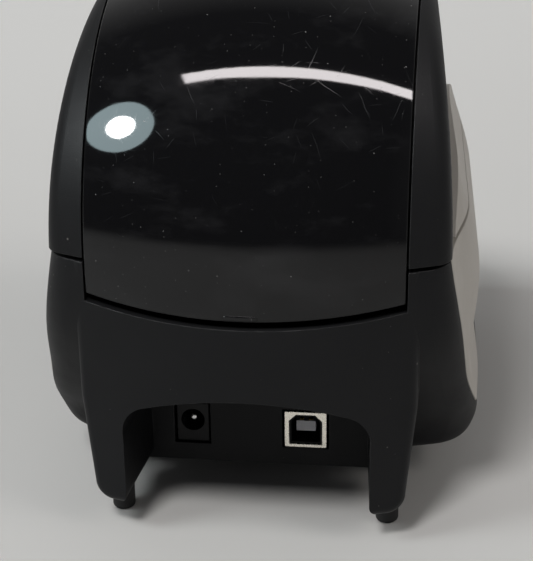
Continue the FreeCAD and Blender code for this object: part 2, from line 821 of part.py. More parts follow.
wing_skin = cut("wing_skin", body_outer, feature("body_wing", body_form(cell("wing_thickness"))))
wing_trim = common("wing_trim", wing_skin, wing_prism("wing_reach", 0))
wing_left = common("wing_left", wing_trim, below_seam)
node("wing_left", wing_left)
node("wing_right", mirrored("wing_mirror", wing_left))
body_bed = feature("body_bed", body_form(mm("size.wing_thickness + size.fit_gap")))
wing_bed = cut("wing_bed", body_outer, body_bed)
wing_pocket = common("wing_pocket", wing_bed, wing_prism("wing_room", cell("panel_gap")))
wing_pockets = [wing_pocket, mirrored("wing_pocket_mirror", wing_pocket)]


def plate_prism(name, gap):
    """The front plate's rounded outline, carried through the front wall."""
    half = mm("size.plate_width / 2") + gap
    low = cell("plate_bottom") - gap
    high = cell("plate_top") + gap
    block = Part.makeBox(2 * half, FAR, high - low, Vector(-half, -FAR, low))
    edges = [edge for edge in block.Edges if edge.BoundBox.YLength > 1]
    return feature(name, block.makeFillet(cell("plate_round") + gap, edges))


plate_skin = cut("plate_skin", body_outer, feature("body_plate", body_form(cell("plate_thickness"))))
plate_blank = common("plate_blank", plate_skin, plate_prism("plate_reach", 0))
body_seat = feature("body_seat", body_form(mm("size.plate_thickness + size.fit_gap")))
plate_bed = cut("plate_bed", body_outer, body_seat)
plate_pocket = common("plate_pocket", plate_bed, plate_prism("plate_room", cell("panel_gap")))

# Lower body: front controls that pass through the wall

BUTTON = ("size.button_x", "size.button_z")
LIGHT = ("size.button_x", "size.light_z")
BUTTON_BACK = f"({FRONT} + size.button_back_inset)"
FRONT_BOARD = f"({FRONT} + size.front_board_inset)"
FRONT_SPAN = (f"-{FAR}", BUTTON_BACK)
button_hole = rod("button_hole", "y", FRONT_SPAN, "size.button_radius + size.button_gap", BUTTON)
light_hole = rod("light_hole", "y", (f"-{FAR}", FRONT_BOARD),
                 "size.light_radius + size.running_gap", LIGHT)
node("front_plate", cut("front_plate", plate_blank, button_hole, light_hole))
button_cap = common("button_cap", rod("button_rod", "y", FRONT_SPAN, "size.button_radius", BUTTON),
                    feature("body_button", body_form(-cell("button_proud"))))
button_collar = rod("button_collar", "y", (BUTTON_BACK, f"{BUTTON_BACK} + size.button_collar_thickness"),
                    "size.button_collar_radius", BUTTON)
BOARD_FACE = f"({FRONT_BOARD} - size.board_thickness)"
SWITCH_TIP = f"({BOARD_FACE} - size.switch_height)"
button_stem = rod("button_stem", "y", (BUTTON_BACK, f"{SWITCH_TIP} - size.button_travel - size.fit_gap"),
                  "size.button_stem_radius", BUTTON)
node("feed_button", fuse("feed_button", button_cap, button_collar, button_stem))
light_span = (f"-{FAR}", f"{BOARD_FACE} - size.light_gap")
node("status_light", common("status_light", rod("light_pipe", "y", light_span, "size.light_radius", LIGHT),
                            feature("body_light", body_form(-cell("fit_gap")))))

BOSS_PLACES = [
    (x, z)
    for x in ("size.front_board_left + size.boss_inset", "size.front_board_right - size.boss_inset")
    for z in ("size.front_board_bottom + size.boss_inset", "size.front_board_top - size.boss_inset")
]
body_mid = feature("body_mid", body_form(cell("wall") / 2 + cell("plate_thickness") / 2))
bosses = [common("boss", rod("boss_rod", "y", (f"-{FAR}", BOARD_FACE), "size.boss_radius", place), body_mid)
          for place in BOSS_PLACES]
front_card = box("front_card", ("size.front_board_left", "size.front_board_right"),
                 (BOARD_FACE, FRONT_BOARD), ("size.front_board_bottom", "size.front_board_top"))
switch_half = "size.switch_width / 2"
switch = box("switch", (f"size.button_x - {switch_half}", f"size.button_x + {switch_half}"),
             (SWITCH_TIP, BOARD_FACE), (f"size.button_z - {switch_half}", f"size.button_z + {switch_half}"))
node("front_board", front_card)
node("button_switch", switch)

# Lower body: hinge pillars and main shell

hinge_parts = []
hinge_holes = []
for span in both_sides("size.arm_offset", ARM_OUT):
    pillar_rear = f"({RECESS} + size.pillar_depth)"
    arm_low = f"{HINGE_Z} - size.knuckle_radius"
    arm_high = f"{HINGE_Z} + size.knuckle_radius"
    hinge_parts.append(box("hinge_pillar", span, (RECESS_INNER, pillar_rear), (ARCH_CEILING, arm_high)))
    hinge_parts.append(box("hinge_reach", span, (pillar_rear, HINGE_Y), (arm_low, arm_high)))
    hinge_parts.append(rod("hinge_end", "x", span, "size.knuckle_radius", HINGE))
    hinge_holes.append(rod("hinge_hole", "x", span, "size.pin_radius + size.running_gap", HINGE))

PLATE_HALF = "(size.overall_width / 2 - size.floor_side_inset)"
PLATE_FRONT = f"({FRONT} + size.floor_front_inset)"
PLATE_REAR = f"({BACK} - size.floor_rear_inset)"
PLATE_TOP = "(size.floor_height + size.floor_plate_thickness)"


def rounded_slab(name, half, y, z, radius):
    """A flat slab with rounded upright corners."""
    block = Part.makeBox(2 * half, y[1] - y[0], z[1] - z[0], Vector(-half, y[0], z[0]))
    edges = [edge for edge in block.Edges if edge.BoundBox.ZLength > 0.5]
    return feature(name, block.makeFillet(radius, edges))


def floor_slab(name, grow, z, radius):
    span = (mm(PLATE_FRONT) - grow, mm(PLATE_REAR) + grow)
    return rounded_slab(name, mm(PLATE_HALF) + grow, span, z, radius)


plate_recess = floor_slab("plate_recess", cell("panel_gap"), (-FAR, mm(PLATE_TOP)), cell("floor_plate_round"))
floor_opening = floor_slab("floor_opening", -cell("floor_ledge"), (0, mm(PLATE_TOP) + cell("wall")),
                           cell("floor_ledge_round"))
FOOT_X = "(size.overall_width / 2 - size.foot_side_inset)"
FOOT_PLACES = {
    "rear": [(x, f"{BACK} - size.rear_foot_inset") for x in (FOOT_X, f"-{FOOT_X}")],
    "front": [(x, f"{FRONT} + size.front_foot_inset") for x in (FOOT_X, f"-{FOOT_X}")],
}
FOOT_TOP = {"rear": "size.leg_bottom + size.foot_recess", "front": "size.foot_boss_bottom + size.foot_recess"}
foot_bosses = [rod("foot_boss", "z", ("size.foot_boss_bottom", "size.floor_height + size.wall"),
                   "size.foot_boss_radius", place) for place in FOOT_PLACES["front"]]
foot_holes = [rod("foot_hole", "z", ("0", FOOT_TOP[end]), "size.foot_radius + size.fit_gap", place)
              for end, places in FOOT_PLACES.items() for place in places]
BOARD_BOTTOM = "(size.floor_height + size.wall + size.board_lift)"
BOARD_TOP = f"({BOARD_BOTTOM} + size.board_thickness)"
SOCKET_GAP = "size.socket_gap"
JACK = ("size.jack_x - size.jack_width / 2", "size.jack_x + size.jack_width / 2")
USB = ("size.usb_x - size.usb_width / 2", "size.usb_x + size.usb_width / 2")


def socket_window(name, span, height):
    """The cut-out for a socket in the recess wall."""
    return box(name, (f"{span[0]} - {SOCKET_GAP}", f"{span[1]} + {SOCKET_GAP}"),
               (f"{RECESS_INNER} - 2 * size.wall", f"{FAR}"),
               (f"{BOARD_TOP} - size.panel_gap", f"{BOARD_TOP} + {height} + {SOCKET_GAP}"))


SCREW_PLACES = [(f"{sign}({PLATE_HALF} - size.screw_inset)", y) for sign in ("", "-")
                for y in (f"{PLATE_FRONT} + size.screw_inset", f"{PLATE_REAR} - size.screw_inset")]
screw_bosses = [rod("screw_boss", "z", (PLATE_TOP, f"{PLATE_TOP} + size.screw_length"),
                    "size.screw_boss_radius", place) for place in SCREW_PLACES]
screw_holes = [rod("screw_hole", "z", ("0", f"{PLATE_TOP} + size.screw_length"),
                   "size.screw_radius + size.running_gap", place) for place in SCREW_PLACES]

shell_outer = fuse("shell_outer", common("shell_low", body_outer, below_seam), feature("apron", apron_form()),
                   *foot_bosses)
shell = cut("shell", shell_outer, body_hollow, apron_hollow, tail_room, arch, *wing_pockets, plate_pocket,
            plate_recess, floor_opening)
shell_full = fuse("shell_full", shell, *hinge_parts, *bosses, *screw_bosses)
node("main_housing", cut(
    "main_housing", shell_full, *hinge_holes, *foot_holes, *screw_holes, button_hole, light_hole,
    socket_window("jack_window", JACK, "size.jack_height"), socket_window("usb_window", USB, "size.usb_height"),
))

# Floor: cover plate with board standoffs and trough posts, its screws, and the rubber feet

TROUGH_OUT = "(size.trough_radius + size.trough_wall)"
BOARD_REAR = f"({RECESS_INNER} - size.board_setback)"
BOARD_FRONT = f"({BOARD_REAR} - size.board_depth)"
trough_drum = rod("trough_drum", "x", WIDE, f"{TROUGH_OUT} + size.panel_gap", (AXIS_Y, AXIS_Z))
posts = [cut("post", rod("post_blank", "z", (PLATE_TOP, AXIS_Z), "size.post_radius", (x, y)), trough_drum)
         for x in ("size.post_x", "-size.post_x")
         for y in (f"{AXIS_Y} + size.post_front", f"{AXIS_Y} + size.post_rear")]
standoffs = [rod("standoff", "z", (PLATE_TOP, BOARD_BOTTOM), "size.standoff_radius", (x, y))
             for x in ("size.standoff_x", "-size.standoff_x")
             for y in (f"{BOARD_FRONT} + size.standoff_front", f"{BOARD_FRONT} + size.standoff_rear")]
floor_blank = floor_slab("floor_blank", 0, (cell("floor_height"), mm(PLATE_TOP)), cell("floor_plate_round"))
head_seats = [rod("head_seat", "z", ("0", "size.floor_height + size.screw_head_height"),
                  "size.screw_head_radius + size.fit_gap", place) for place in SCREW_PLACES]
node("floor_plate", cut("floor_plate", fuse("floor_full", floor_blank, *posts, *standoffs), *head_seats,
                        *[rod("plate_hole", "z", ("0", PLATE_TOP), "size.screw_radius + size.fit_gap", place)
                          for place in SCREW_PLACES]))


def screw(place):
    """A pan screw driven up through the floor plate, with a cross slot in its head."""
    head_top = "(size.floor_height + size.screw_head_height)"
    head = rod("screw_head", "z", ("size.floor_height", head_top), "size.screw_head_radius", place)
    shank = rod("screw_shank", "z", (head_top, f"{PLATE_TOP} + size.screw_length"), "size.screw_radius", place)
    long, short = "size.screw_cross_half", "size.screw_cross_slot / 2"
    slots = []
    for reach_x, reach_y in ((long, short), (short, long)):
        slots.append(box("screw_slot", (f"{place[0]} - {reach_x}", f"{place[0]} + {reach_x}"),
                         (f"{place[1]} - {reach_y}", f"{place[1]} + {reach_y}"),
                         ("size.floor_height", "size.floor_height + size.screw_head_height / 2")))
    return cut("screw", fuse("screw_blank", head, shank), *slots)


def group(label, pieces):
    """Several separate solids under one name."""
    piece = doc.addObject("Part::Compound", label)
    piece.Links = pieces
    return node(label, piece)


group("floor_screws", [screw(place) for place in SCREW_PLACES])


def rubber_foot(end, place):
    """A round foot with a rounded tread, pressed into its recess."""
    blank = rod("foot_blank", "z", ("0", FOOT_TOP[end]), "size.foot_radius", place)
    doc.recompute()
    edges = [index for index, edge in enumerate(blank.Shape.Edges, 1)
             if edge.BoundBox.ZMax < 0.01 and edge.BoundBox.XLength > 1]
    foot = doc.addObject("Part::Fillet", "foot")
    foot.Base = blank
    foot.Edges = [(index, cell("foot_round"), cell("foot_round")) for index in edges]
    return foot


group("rear_feet", [rubber_foot("rear", place) for place in FOOT_PLACES["rear"]])
group("front_feet", [rubber_foot("front", place) for place in FOOT_PLACES["front"]])

# Roll trough: the curved floor of the roll space, with a ramp to the feed slot

TROUGH_HALF = "(size.overall_width / 2 - size.trough_side_inset)"
TROUGH_FRONT = f"({AXIS_Y} - size.trough_reach)"
RAMP_HALF = "(size.ramp_width / 2)"
trough_ring = cut("trough_ring", rod("trough_outside", "x", (f"-{TROUGH_HALF}", TROUGH_HALF), TROUGH_OUT,
                                     (AXIS_Y, AXIS_Z)),
                  rod("trough_inside", "x", WIDE, "size.trough_radius", (AXIS_Y, AXIS_Z)))
trough_arc = common("trough_arc", trough_ring, box("trough_span", WIDE, (
    TROUGH_FRONT, f"{RECESS_INNER} - size.panel_gap"), ("0", AXIS_Z)))
RAMP_TOP = f"({AXIS_Z} - sqrt(size.trough_radius ^ 2 - size.trough_reach ^ 2))"
RAMP_SPAN = (f"{SLOT_Y} + size.ramp_clear", f"{TROUGH_FRONT} + size.trough_wall")
ramp = box("ramp", (f"-{RAMP_HALF}", RAMP_HALF), RAMP_SPAN,
           (f"{RAMP_TOP} - size.trough_wall", RAMP_TOP))
ramp_end = cut("ramp_end", ramp, rod("ramp_trim", "x", WIDE, "size.trough_radius", (AXIS_Y, AXIS_Z)))
node("roll_trough", fuse("roll_trough", trough_arc, ramp_end))

# Sketched bodies


def origin_plane(body, role):
    return [item for item in body.Origin.OriginFeatures if item.Role == role][0]


def polygon_sketch(body, name, role, points):
    """A closed polygon whose corners are held by named distances bound to the sheet."""
    sketch = body.newObject("Sketcher::SketchObject", name)
    sketch.AttachmentSupport = [(origin_plane(body, role), "")]
    sketch.MapMode = "FlatFace"
    corners = [Vector(mm(u), mm(v), 0) for u, v in points]
    count = len(corners)
    for index in range(count):
        sketch.addGeometry(Part.LineSegment(corners[index], corners[(index + 1) % count]))
    for index in range(count):
        sketch.addConstraint(Sketcher.Constraint("Coincident", index, 2, (index + 1) % count, 1))
    for index, (u, v) in enumerate(points):
        for kind, expression in (("DistanceX", u), ("DistanceY", v)):
            name_of = f"{kind}{index}"
            number = sketch.addConstraint(Sketcher.Constraint(kind, -1, 1, index, 1, mm(expression)))
            sketch.renameConstraint(number, name_of)
            sketch.setExpression(f"Constraints.{name_of}", expression)
    return sketch


def circle_sketch(body, name, role, centre, radius):
    """A circle with its centre and radius bound to the sheet."""
    sketch = body.newObject("Sketcher::SketchObject", name)
    sketch.AttachmentSupport = [(origin_plane(body, role), "")]
    sketch.MapMode = "FlatFace"
    middle = Vector(mm(centre[0]), mm(centre[1]), 0)
    sketch.addGeometry(Part.Circle(middle, Vector(0, 0, 1), mm(radius)))
    holds = (("DistanceX", centre[0]), ("DistanceY", centre[1]))
    for kind, expression in holds:
        number = sketch.addConstraint(Sketcher.Constraint(kind, -1, 1, 0, 3, mm(expression)))
        sketch.renameConstraint(number, kind)
        sketch.setExpression(f"Constraints.{kind}", expression)
    number = sketch.addConstraint(Sketcher.Constraint("Radius", 0, mm(radius)))
    sketch.renameConstraint(number, "Radius")
    sketch.setExpression("Constraints.Radius", radius)
    return sketch


def place_body(body, y, z):
    body.setExpression("Placement.Base.y", y)
    body.setExpression("Placement.Base.z", z)


def turned_body(label, points, y, z):
    """A body turned about an axis along X through (y, z), from its profile (x, radius)."""
    body = doc.addObject("PartDesign::Body", label)
    sketch = polygon_sketch(body, label + "_profile", "XZ_Plane", points)
    turned = body.newObject("PartDesign::Revolution", label + "_turned")
    turned.Profile = sketch
    turned.ReferenceAxis = (sketch, ["H_Axis"])
    turned.Angle = 360
    place_body(body, y, z)
    return node(label, body)


def ring_of_holes(body):
    """Round holes through the spool's flange."""
    sketch = circle_sketch(body, body.Name + "_hole", "YZ_Plane", ("0", "size.spool_hole_place"),
                           "size.spool_hole_radius")
    pocket = body.newObject("PartDesign::Pocket", body.Name + "_pocket")
    pocket.Profile = sketch
    pocket.Type = "ThroughAll"
    pocket.Midplane = True
    pattern = body.newObject("PartDesign::PolarPattern", body.Name + "_pattern")
    pattern.Originals = [pocket]
    pattern.Axis = (sketch, ["N_Axis"])
    pattern.Angle = 360
    pattern.setExpression("Occurrences", "size.spool_hole_count")
    body.Tip = pattern


# Spool: spindle with its fixed flange, and the guide that slides along it

JOURNAL_IN = f"({ARM_X} - size.journal_shoulder)"
JOURNAL_OUT = f"({ARM_X} + size.arm_plate_thickness + size.journal_shoulder)"
FLANGE_IN = f"({ARM_X} - size.spool_flange_inset)"
FLANGE_OUT = f"({FLANGE_IN} + size.spool_flange_thickness)"
spindle = turned_body("spool_spindle", [
    (f"-{JOURNAL_OUT}", "0"),
    (f"-{JOURNAL_OUT}", "size.journal_radius"),
    (f"-{JOURNAL_IN}", "size.journal_radius"),
    (f"-{JOURNAL_IN}", "size.spindle_radius"),
    (FLANGE_IN, "size.spindle_radius"),
    (FLANGE_IN, "size.spool_flange_radius"),
    (FLANGE_OUT, "size.spool_flange_radius"),
    (FLANGE_OUT, "size.spool_hub_radius"),
    (JOURNAL_IN, "size.spool_hub_radius"),
    (JOURNAL_IN, "size.journal_radius"),
    (JOURNAL_OUT, "size.journal_radius"),
    (JOURNAL_OUT, "0"),
], AXIS_Y, AXIS_Z)
ring_of_holes(spindle)
GUIDE_BORE = "(size.spindle_radius + size.running_gap)"
guide = turned_body("spool_guide", [
    (f"-({JOURNAL_IN} - size.journal_shoulder)", GUIDE_BORE),
    (f"-({JOURNAL_IN} - size.journal_shoulder)", "size.spool_hub_radius"),
    (f"-{FLANGE_OUT}", "size.spool_hub_radius"),
    (f"-{FLANGE_OUT}", "size.spool_flange_radius"),
    (f"-{FLANGE_IN}", "size.spool_flange_radius"),
    (f"-{FLANGE_IN}", GUIDE_BORE),
], AXIS_Y, AXIS_Z)
ring_of_holes(guide)

# Circuit board, with the power and data sockets that show in the recess

BOARD_HALF = "(size.board_width / 2)"
node("main_board", box("main_board", (f"-{BOARD_HALF}", BOARD_HALF), (BOARD_FRONT, BOARD_REAR),
                       (BOARD_BOTTOM, BOARD_TOP)))
JACK_FACE = f"({RECESS} - size.jack_setback)"
jack_blank = box("jack_blank", JACK, (f"{JACK_FACE} - size.jack_depth", JACK_FACE),
                 (BOARD_TOP, f"{BOARD_TOP} + size.jack_height"))
JACK_AXIS = ("size.jack_x", f"{BOARD_TOP} + size.jack_hole_height")
JACK_END = f"({JACK_FACE} - size.jack_hole_depth)"
node("dc_jack", cut("dc_jack", jack_blank, rod("jack_hole", "y", (JACK_END, JACK_FACE),
                                               "size.jack_hole_radius", JACK_AXIS)))


def rounded_pin():
    """The jack's centre pin, with its free end rounded."""
    blank = rod("pin_blank", "y", (JACK_END, f"{JACK_END} + size.jack_pin_length"), "size.jack_pin_radius",
                JACK_AXIS)
    doc.recompute()
    tip = mm(f"{JACK_END} + size.jack_pin_length")
    edges = [index for index, edge in enumerate(blank.Shape.Edges, 1)
             if abs(edge.BoundBox.YMin - tip) < 0.01 and abs(edge.BoundBox.YMax - tip) < 0.01]
    pin = doc.addObject("Part::Fillet", "dc_jack_pin")
    pin.Base = blank
    pin.Edges = [(index, cell("jack_pin_round"), cell("jack_pin_round")) for index in edges]
    return pin


node("dc_jack_pin", rounded_pin())

USB_BORE = "(size.usb_depth - size.usb_wall)"
INSERT_DEPTH = f"({USB_BORE} - size.usb_insert_setback - size.fit_gap)"


def usb_square():
    """The outside of the data socket's shell."""
    half, high = "(size.usb_width / 2)", "size.usb_height"
    return [(f"-{half}", "0"), (half, "0"), (half, high), (f"-{half}", high)]


def usb_opening(inset):
    """The socket's opening with its two cut upper corners, drawn in by inset."""
    half = f"(size.usb_width / 2 - size.usb_wall - {inset})"
    low = f"(size.usb_lip + {inset})"
    high = f"(size.usb_height - size.usb_lip - {inset})"
    corner = f"(size.usb_chamfer - (2 - sqrt(2)) * {inset})"
    return [(f"-{half}", low), (half, low), (half, f"{high} - {corner}"), (f"{half} - {corner}", high),
            (f"-({half} - {corner})", high), (f"-{half}", f"{high} - {corner}")]


def socket_sleeve(label, outside, inside, depth, bore, face):
    """A sleeve with a closed inner end, open towards the back of the printer at face."""
    body = doc.addObject("PartDesign::Body", label)
    pad = body.newObject("PartDesign::Pad", label + "_pad")
    pad.Profile = polygon_sketch(body, label + "_outside", "XZ_Plane", outside)
    pad.setExpression("Length", depth)
    doc.recompute()
    solid = pad.Shape.Volume
    pocket = body.newObject("PartDesign::Pocket", label + "_pocket")
    pocket.Profile = polygon_sketch(body, label + "_inside", "XZ_Plane", inside)
    pocket.setExpression("Length", bore)
    pocket.Reversed = True
    doc.recompute()
    if pocket.Shape.Volume >= solid:
        raise RuntimeError(f"{label} has no opening")
    body.setExpression("Placement.Base.x", "size.usb_x")
    body.setExpression("Placement.Base.y", face)
    body.setExpression("Placement.Base.z", BOARD_TOP)
    return body


def round_corners(body):
    """Round the sleeve's four long outer edges."""
    sleeve = body.Tip
    half = cell("usb_width") / 2
    edges = []
    for index, edge in enumerate(sleeve.Shape.Edges, 1):
        box_of = edge.BoundBox
        is_long = box_of.YLength > cell("usb_depth") - 0.01
        if is_long and abs(abs(box_of.Center.x) - half) < 0.01:
            edges.append(f"Edge{index}")
    fillet = body.newObject("PartDesign::Fillet", body.Name + "_round")
    fillet.Base = (sleeve, edges)
    fillet.setExpression("Radius", "size.usb_corner")
    body.Tip = fillet
    return body


node("usb_shell", round_corners(socket_sleeve("usb_shell", usb_square(), usb_opening("0"), "size.usb_depth",
                                              USB_BORE, RECESS)))
node("usb_insert", socket_sleeve("usb_insert", usb_opening("size.fit_gap"),
                                 usb_opening("(size.fit_gap + size.usb_insert_wall)"), INSERT_DEPTH,
                                 f"{INSERT_DEPTH} - size.usb_insert_back",
                                 f"({RECESS} - size.usb_insert_setback)"))
TONGUE = ("size.usb_x - size.usb_tongue_width / 2", "size.usb_x + size.usb_tongue_width / 2")
TONGUE_LOW = f"({BOARD_TOP} + size.usb_height / 2 - size.usb_tongue_height / 3)"
TONGUE_HIGH = f"({TONGUE_LOW} + size.usb_tongue_height)"
TONGUE_ROOT = f"({RECESS} - {USB_BORE} + size.fit_gap + size.usb_insert_back)"
TONGUE_TIP = f"({RECESS} - size.usb_tongue_setback)"
node("usb_tongue", box("usb_tongue", TONGUE, (TONGUE_ROOT, TONGUE_TIP), (TONGUE_LOW, TONGUE_HIGH)))


def usb_contact(side, span):
    """One flat contact along the tongue's upper or lower face."""
    middle = f"(size.usb_x + {side} * size.usb_contact_pitch / 2)"
    half = "size.usb_contact_width / 2"
    return box("usb_contact", (f"{middle} - {half}", f"{middle} + {half}"),
               (TONGUE_ROOT, f"{TONGUE_TIP} - size.usb_contact_setback"), span)


CONTACT_SPANS = ((TONGUE_HIGH, f"{TONGUE_HIGH} + size.usb_contact_thickness"),
                 (f"{TONGUE_LOW} - size.usb_contact_thickness", TONGUE_LOW))
group("usb_contacts", [usb_contact(side, span) for span in CONTACT_SPANS for side in (-1, 1)])
# places on the board, from its middle and from its front edge
CHIP_PLACES = ((-22, 5), (4, 14), (-22, 22))
CAPACITOR_PLACES = ((27.5, 40), (20, 40), (2, 44))


def chip(x, y):
    return box("chip", (f"{x}", f"{x} + size.chip_width"),
               (f"{BOARD_FRONT} + {y}", f"{BOARD_FRONT} + {y} + size.chip_width"),
               (BOARD_TOP, f"{BOARD_TOP} + size.chip_height"))


def capacitor(x, y):
    return rod("capacitor", "z", (BOARD_TOP, f"{BOARD_TOP} + size.capacitor_height"), "size.capacitor_radius",
               (f"{x}", f"{BOARD_FRONT} + {y}"))


group("board_chips", [chip(x, y) for x, y in CHIP_PLACES])
group("board_capacitors", [capacitor(x, y) for x, y in CAPACITOR_PLACES])

# Label slot: the deck in front of the lid, and the bar that labels are torn on

SLOT_HALF = "(size.slot_length / 2)"
SLOT_SPAN = (f"{SLOT_Y} - size.slot_width / 2", f"{SLOT_Y} + size.slot_width / 2")
DECK = (f"{BODY_TOP} - size.deck_thickness", BODY_TOP)
body_deck = feature("body_deck", body_form(mm("size.wall + size.panel_gap")))
deck_reach = box("deck_reach", WIDE, (f"-{FAR}", f"{SLOT_Y} + size.deck_overhang"), DECK)
deck_slot = box("deck_slot", (f"-{SLOT_HALF}", SLOT_HALF), SLOT_SPAN, DECK)
node("exit_deck", cut("exit_deck", common("deck_blank", body_deck, deck_reach), deck_slot))


def tear_bar():
    """A thin steel strip with a row of small triangular teeth."""
    half = mm(SLOT_HALF) - cell("fit_gap")
    low = mm(DECK[0])
    high = low + cell("tear_bar_height")
    pitch = cell("tear_tooth")
    count = int(2 * half / pitch)
    y = mm(SLOT_SPAN[0])
    points = [Vector(-half, y, low), Vector(half, y, low)]
    for tooth in range(count):
        points.append(Vector(half - 2 * half * tooth / count, y, high - pitch / 2))
        points.append(Vector(half - 2 * half * (tooth + 0.5) / count, y, high))
    points.append(Vector(-half, y, high - pitch / 2))
    face = Part.Face(Part.makePolygon(points + points[:1]))
    return face.extrude(Vector(0, cell("tear_bar_thickness"), 0))


node("tear_bar", feature("tear_bar", tear_bar()))

# Print mechanism, on a path that rises through the slot and leans forward.
# In its own frame the path runs along z through the nip, and y points from the head to the platen.

LEAN = Rotation(Vector(1, 0, 0), cell("path_lean"))
nip = Vector(0, mm(SLOT_Y), mm(BODY_TOP)) - LEAN.multVec(Vector(0, 0, cell("nip_drop")))
PATH = Placement(nip, LEAN)


def path_box(name, x, y, z):
    """A box in the frame of the label path."""
    piece = doc.addObject("Part::Box", name)
    for side, (low, high) in zip(("Length", "Width", "Height"), (x, y, z)):
        piece.setExpression(side, f"({high}) - ({low})")
    piece.Placement = PATH.multiply(Placement(Vector(mm(x[0]), mm(y[0]), mm(z[0])), Rotation()))
    return piece


def path_point(y, z):
    """The printer's own y and z of a point in the frame of the label path, as text."""
    point = PATH.multVec(Vector(0, mm(y), mm(z)))
    return f"({point.y:.6f})", f"({point.z:.6f})"


def even(expression):
    """The span of x that is as far to the left as to the right."""
    return f"-({expression})", expression


PLATEN = path_point("size.platen_radius", "0")
PIVOT = path_point("size.pivot_y", "size.pivot_z")
SIDE_OUT = "(size.side_plate_x + size.side_plate_thickness)"
GEAR_OUT = "(size.gear_x + size.gear_width)"
turned_body("platen_shaft", [
    (f"-({SIDE_OUT} + size.platen_shaft_end)", "0"),
    (f"-({SIDE_OUT} + size.platen_shaft_end)", "size.platen_shaft_radius"),
    (GEAR_OUT, "size.platen_shaft_radius"), (GEAR_OUT, "0"),
], *PLATEN)
turned_body("platen_roller", [
    ("-size.platen_length / 2", "size.platen_shaft_radius"), ("-size.platen_length / 2", "size.platen_radius"),
    ("size.platen_length / 2", "size.platen_radius"), ("size.platen_length / 2", "size.platen_shaft_radius"),
], *PLATEN)
bushes = []
for span in both_sides("size.side_plate_x - size.bush_overhang", f"{SIDE_OUT} + size.bush_overhang"):
    bushes.append(cut("bush", rod("bush_blank", "x", span, "size.bush_radius", PLATEN),
                      rod("bush_bore", "x", span, "size.platen_shaft_radius + size.running_gap", PLATEN)))
group("platen_bushes", bushes)

# Gear train on the left side plate


# depth of a tooth below the pitch circle, in modules, and the pressure angle of the flanks
DEDENDUM = 1.25
PRESSURE_ANGLE = 20


def gear_face(x, centre, teeth, phase):
    """A spur gear outline with involute flanks, with a tooth pointing at the angle phase."""
    module = cell("gear_module")
    pitch = module * teeth / 2
    pressure = math.radians(PRESSURE_ANGLE)
    base = pitch * math.cos(pressure)
    tip = pitch + module
    root = pitch - DEDENDUM * module
    steps = 4

    def half_angle(radius):
        angle = math.acos(min(1, base / radius))
        rise = math.tan(pressure) - pressure - (math.tan(angle) - angle)
        return math.pi / (2 * teeth) + rise

    start = max(base, root)
    flank = [start + (tip - start) * step / (steps - 1) for step in range(steps)]
    points = []
    for tooth in range(teeth):
        middle = phase + 2 * math.pi * tooth / teeth
        rising = [(root, half_angle(start))] + [(radius, half_angle(radius)) for radius in flank]
        if root >= base:
            rising = rising[1:]
        for radius, angle in rising:
            points.append((radius, middle - angle))
        for radius, angle in reversed(rising):
            points.append((radius, middle + angle))
    corners = [Vector(x, centre[0] + radius * math.cos(angle), centre[1] + radius * math.sin(angle))
               for radius, angle in points]
    return Part.Face(Part.makePolygon(corners + corners[:1]))


def gear(label, centre, teeth, phase, bore):
    """A toothed wheel on the outer side of the left side plate."""
    blank = feature(label + "_teeth", gear_face(cell("gear_x"), centre, teeth, phase).extrude(
        Vector(cell("gear_width"), 0, 0)))
    place = (f"({centre[0]:.6f})", f"({centre[1]:.6f})")
    return cut(label, blank, rod(label + "_bore", "x", ("size.gear_x", GEAR_OUT), bore, place))


teeth = {name: int(cell(name + "_teeth")) for name in ("platen", "idler", "pinion")}
pitch_radius = {name: cell("gear_module") * count / 2 for name, count in teeth.items()}
platen_at = (mm(PLATEN[0]), mm(PLATEN[1]))
MOTOR = path_point("size.platen_radius - size.motor_back", "-size.motor_drop")
motor_at = (mm(MOTOR[0]), mm(MOTOR[1]))
reach_motor = pitch_radius["pinion"] + pitch_radius["idler"] + cell("mesh_gap")
reach_platen = pitch_radius["platen"] + pitch_radius["idler"] + cell("mesh_gap")
apart = math.dist(platen_at, motor_at)
along = (reach_motor ** 2 - reach_platen ** 2 + apart ** 2) / (2 * apart)
aside = math.sqrt(reach_motor ** 2 - along ** 2)
forward = ((platen_at[0] - motor_at[0]) / apart, (platen_at[1] - motor_at[1]) / apart)
idler_at = (motor_at[0] + along * forward[0] + aside * forward[1],
            motor_at[1] + along * forward[1] - aside * forward[0])


def heading(start, end):
    return math.atan2(end[1] - start[1], end[0] - start[0])


# the pinion points a tooth at the idler, the idler a gap at the pinion, and the platen gear follows the idler
pinion_phase = heading(motor_at, idler_at)
idler_phase = heading(idler_at, motor_at) + math.pi / teeth["idler"]
idler_step = 2 * math.pi / teeth["idler"]
ahead = (idler_phase - heading(idler_at, platen_at)) % idler_step
platen_gap = heading(platen_at, idler_at) - ahead * teeth["idler"] / teeth["platen"]
platen_phase = platen_gap + math.pi / teeth["platen"]

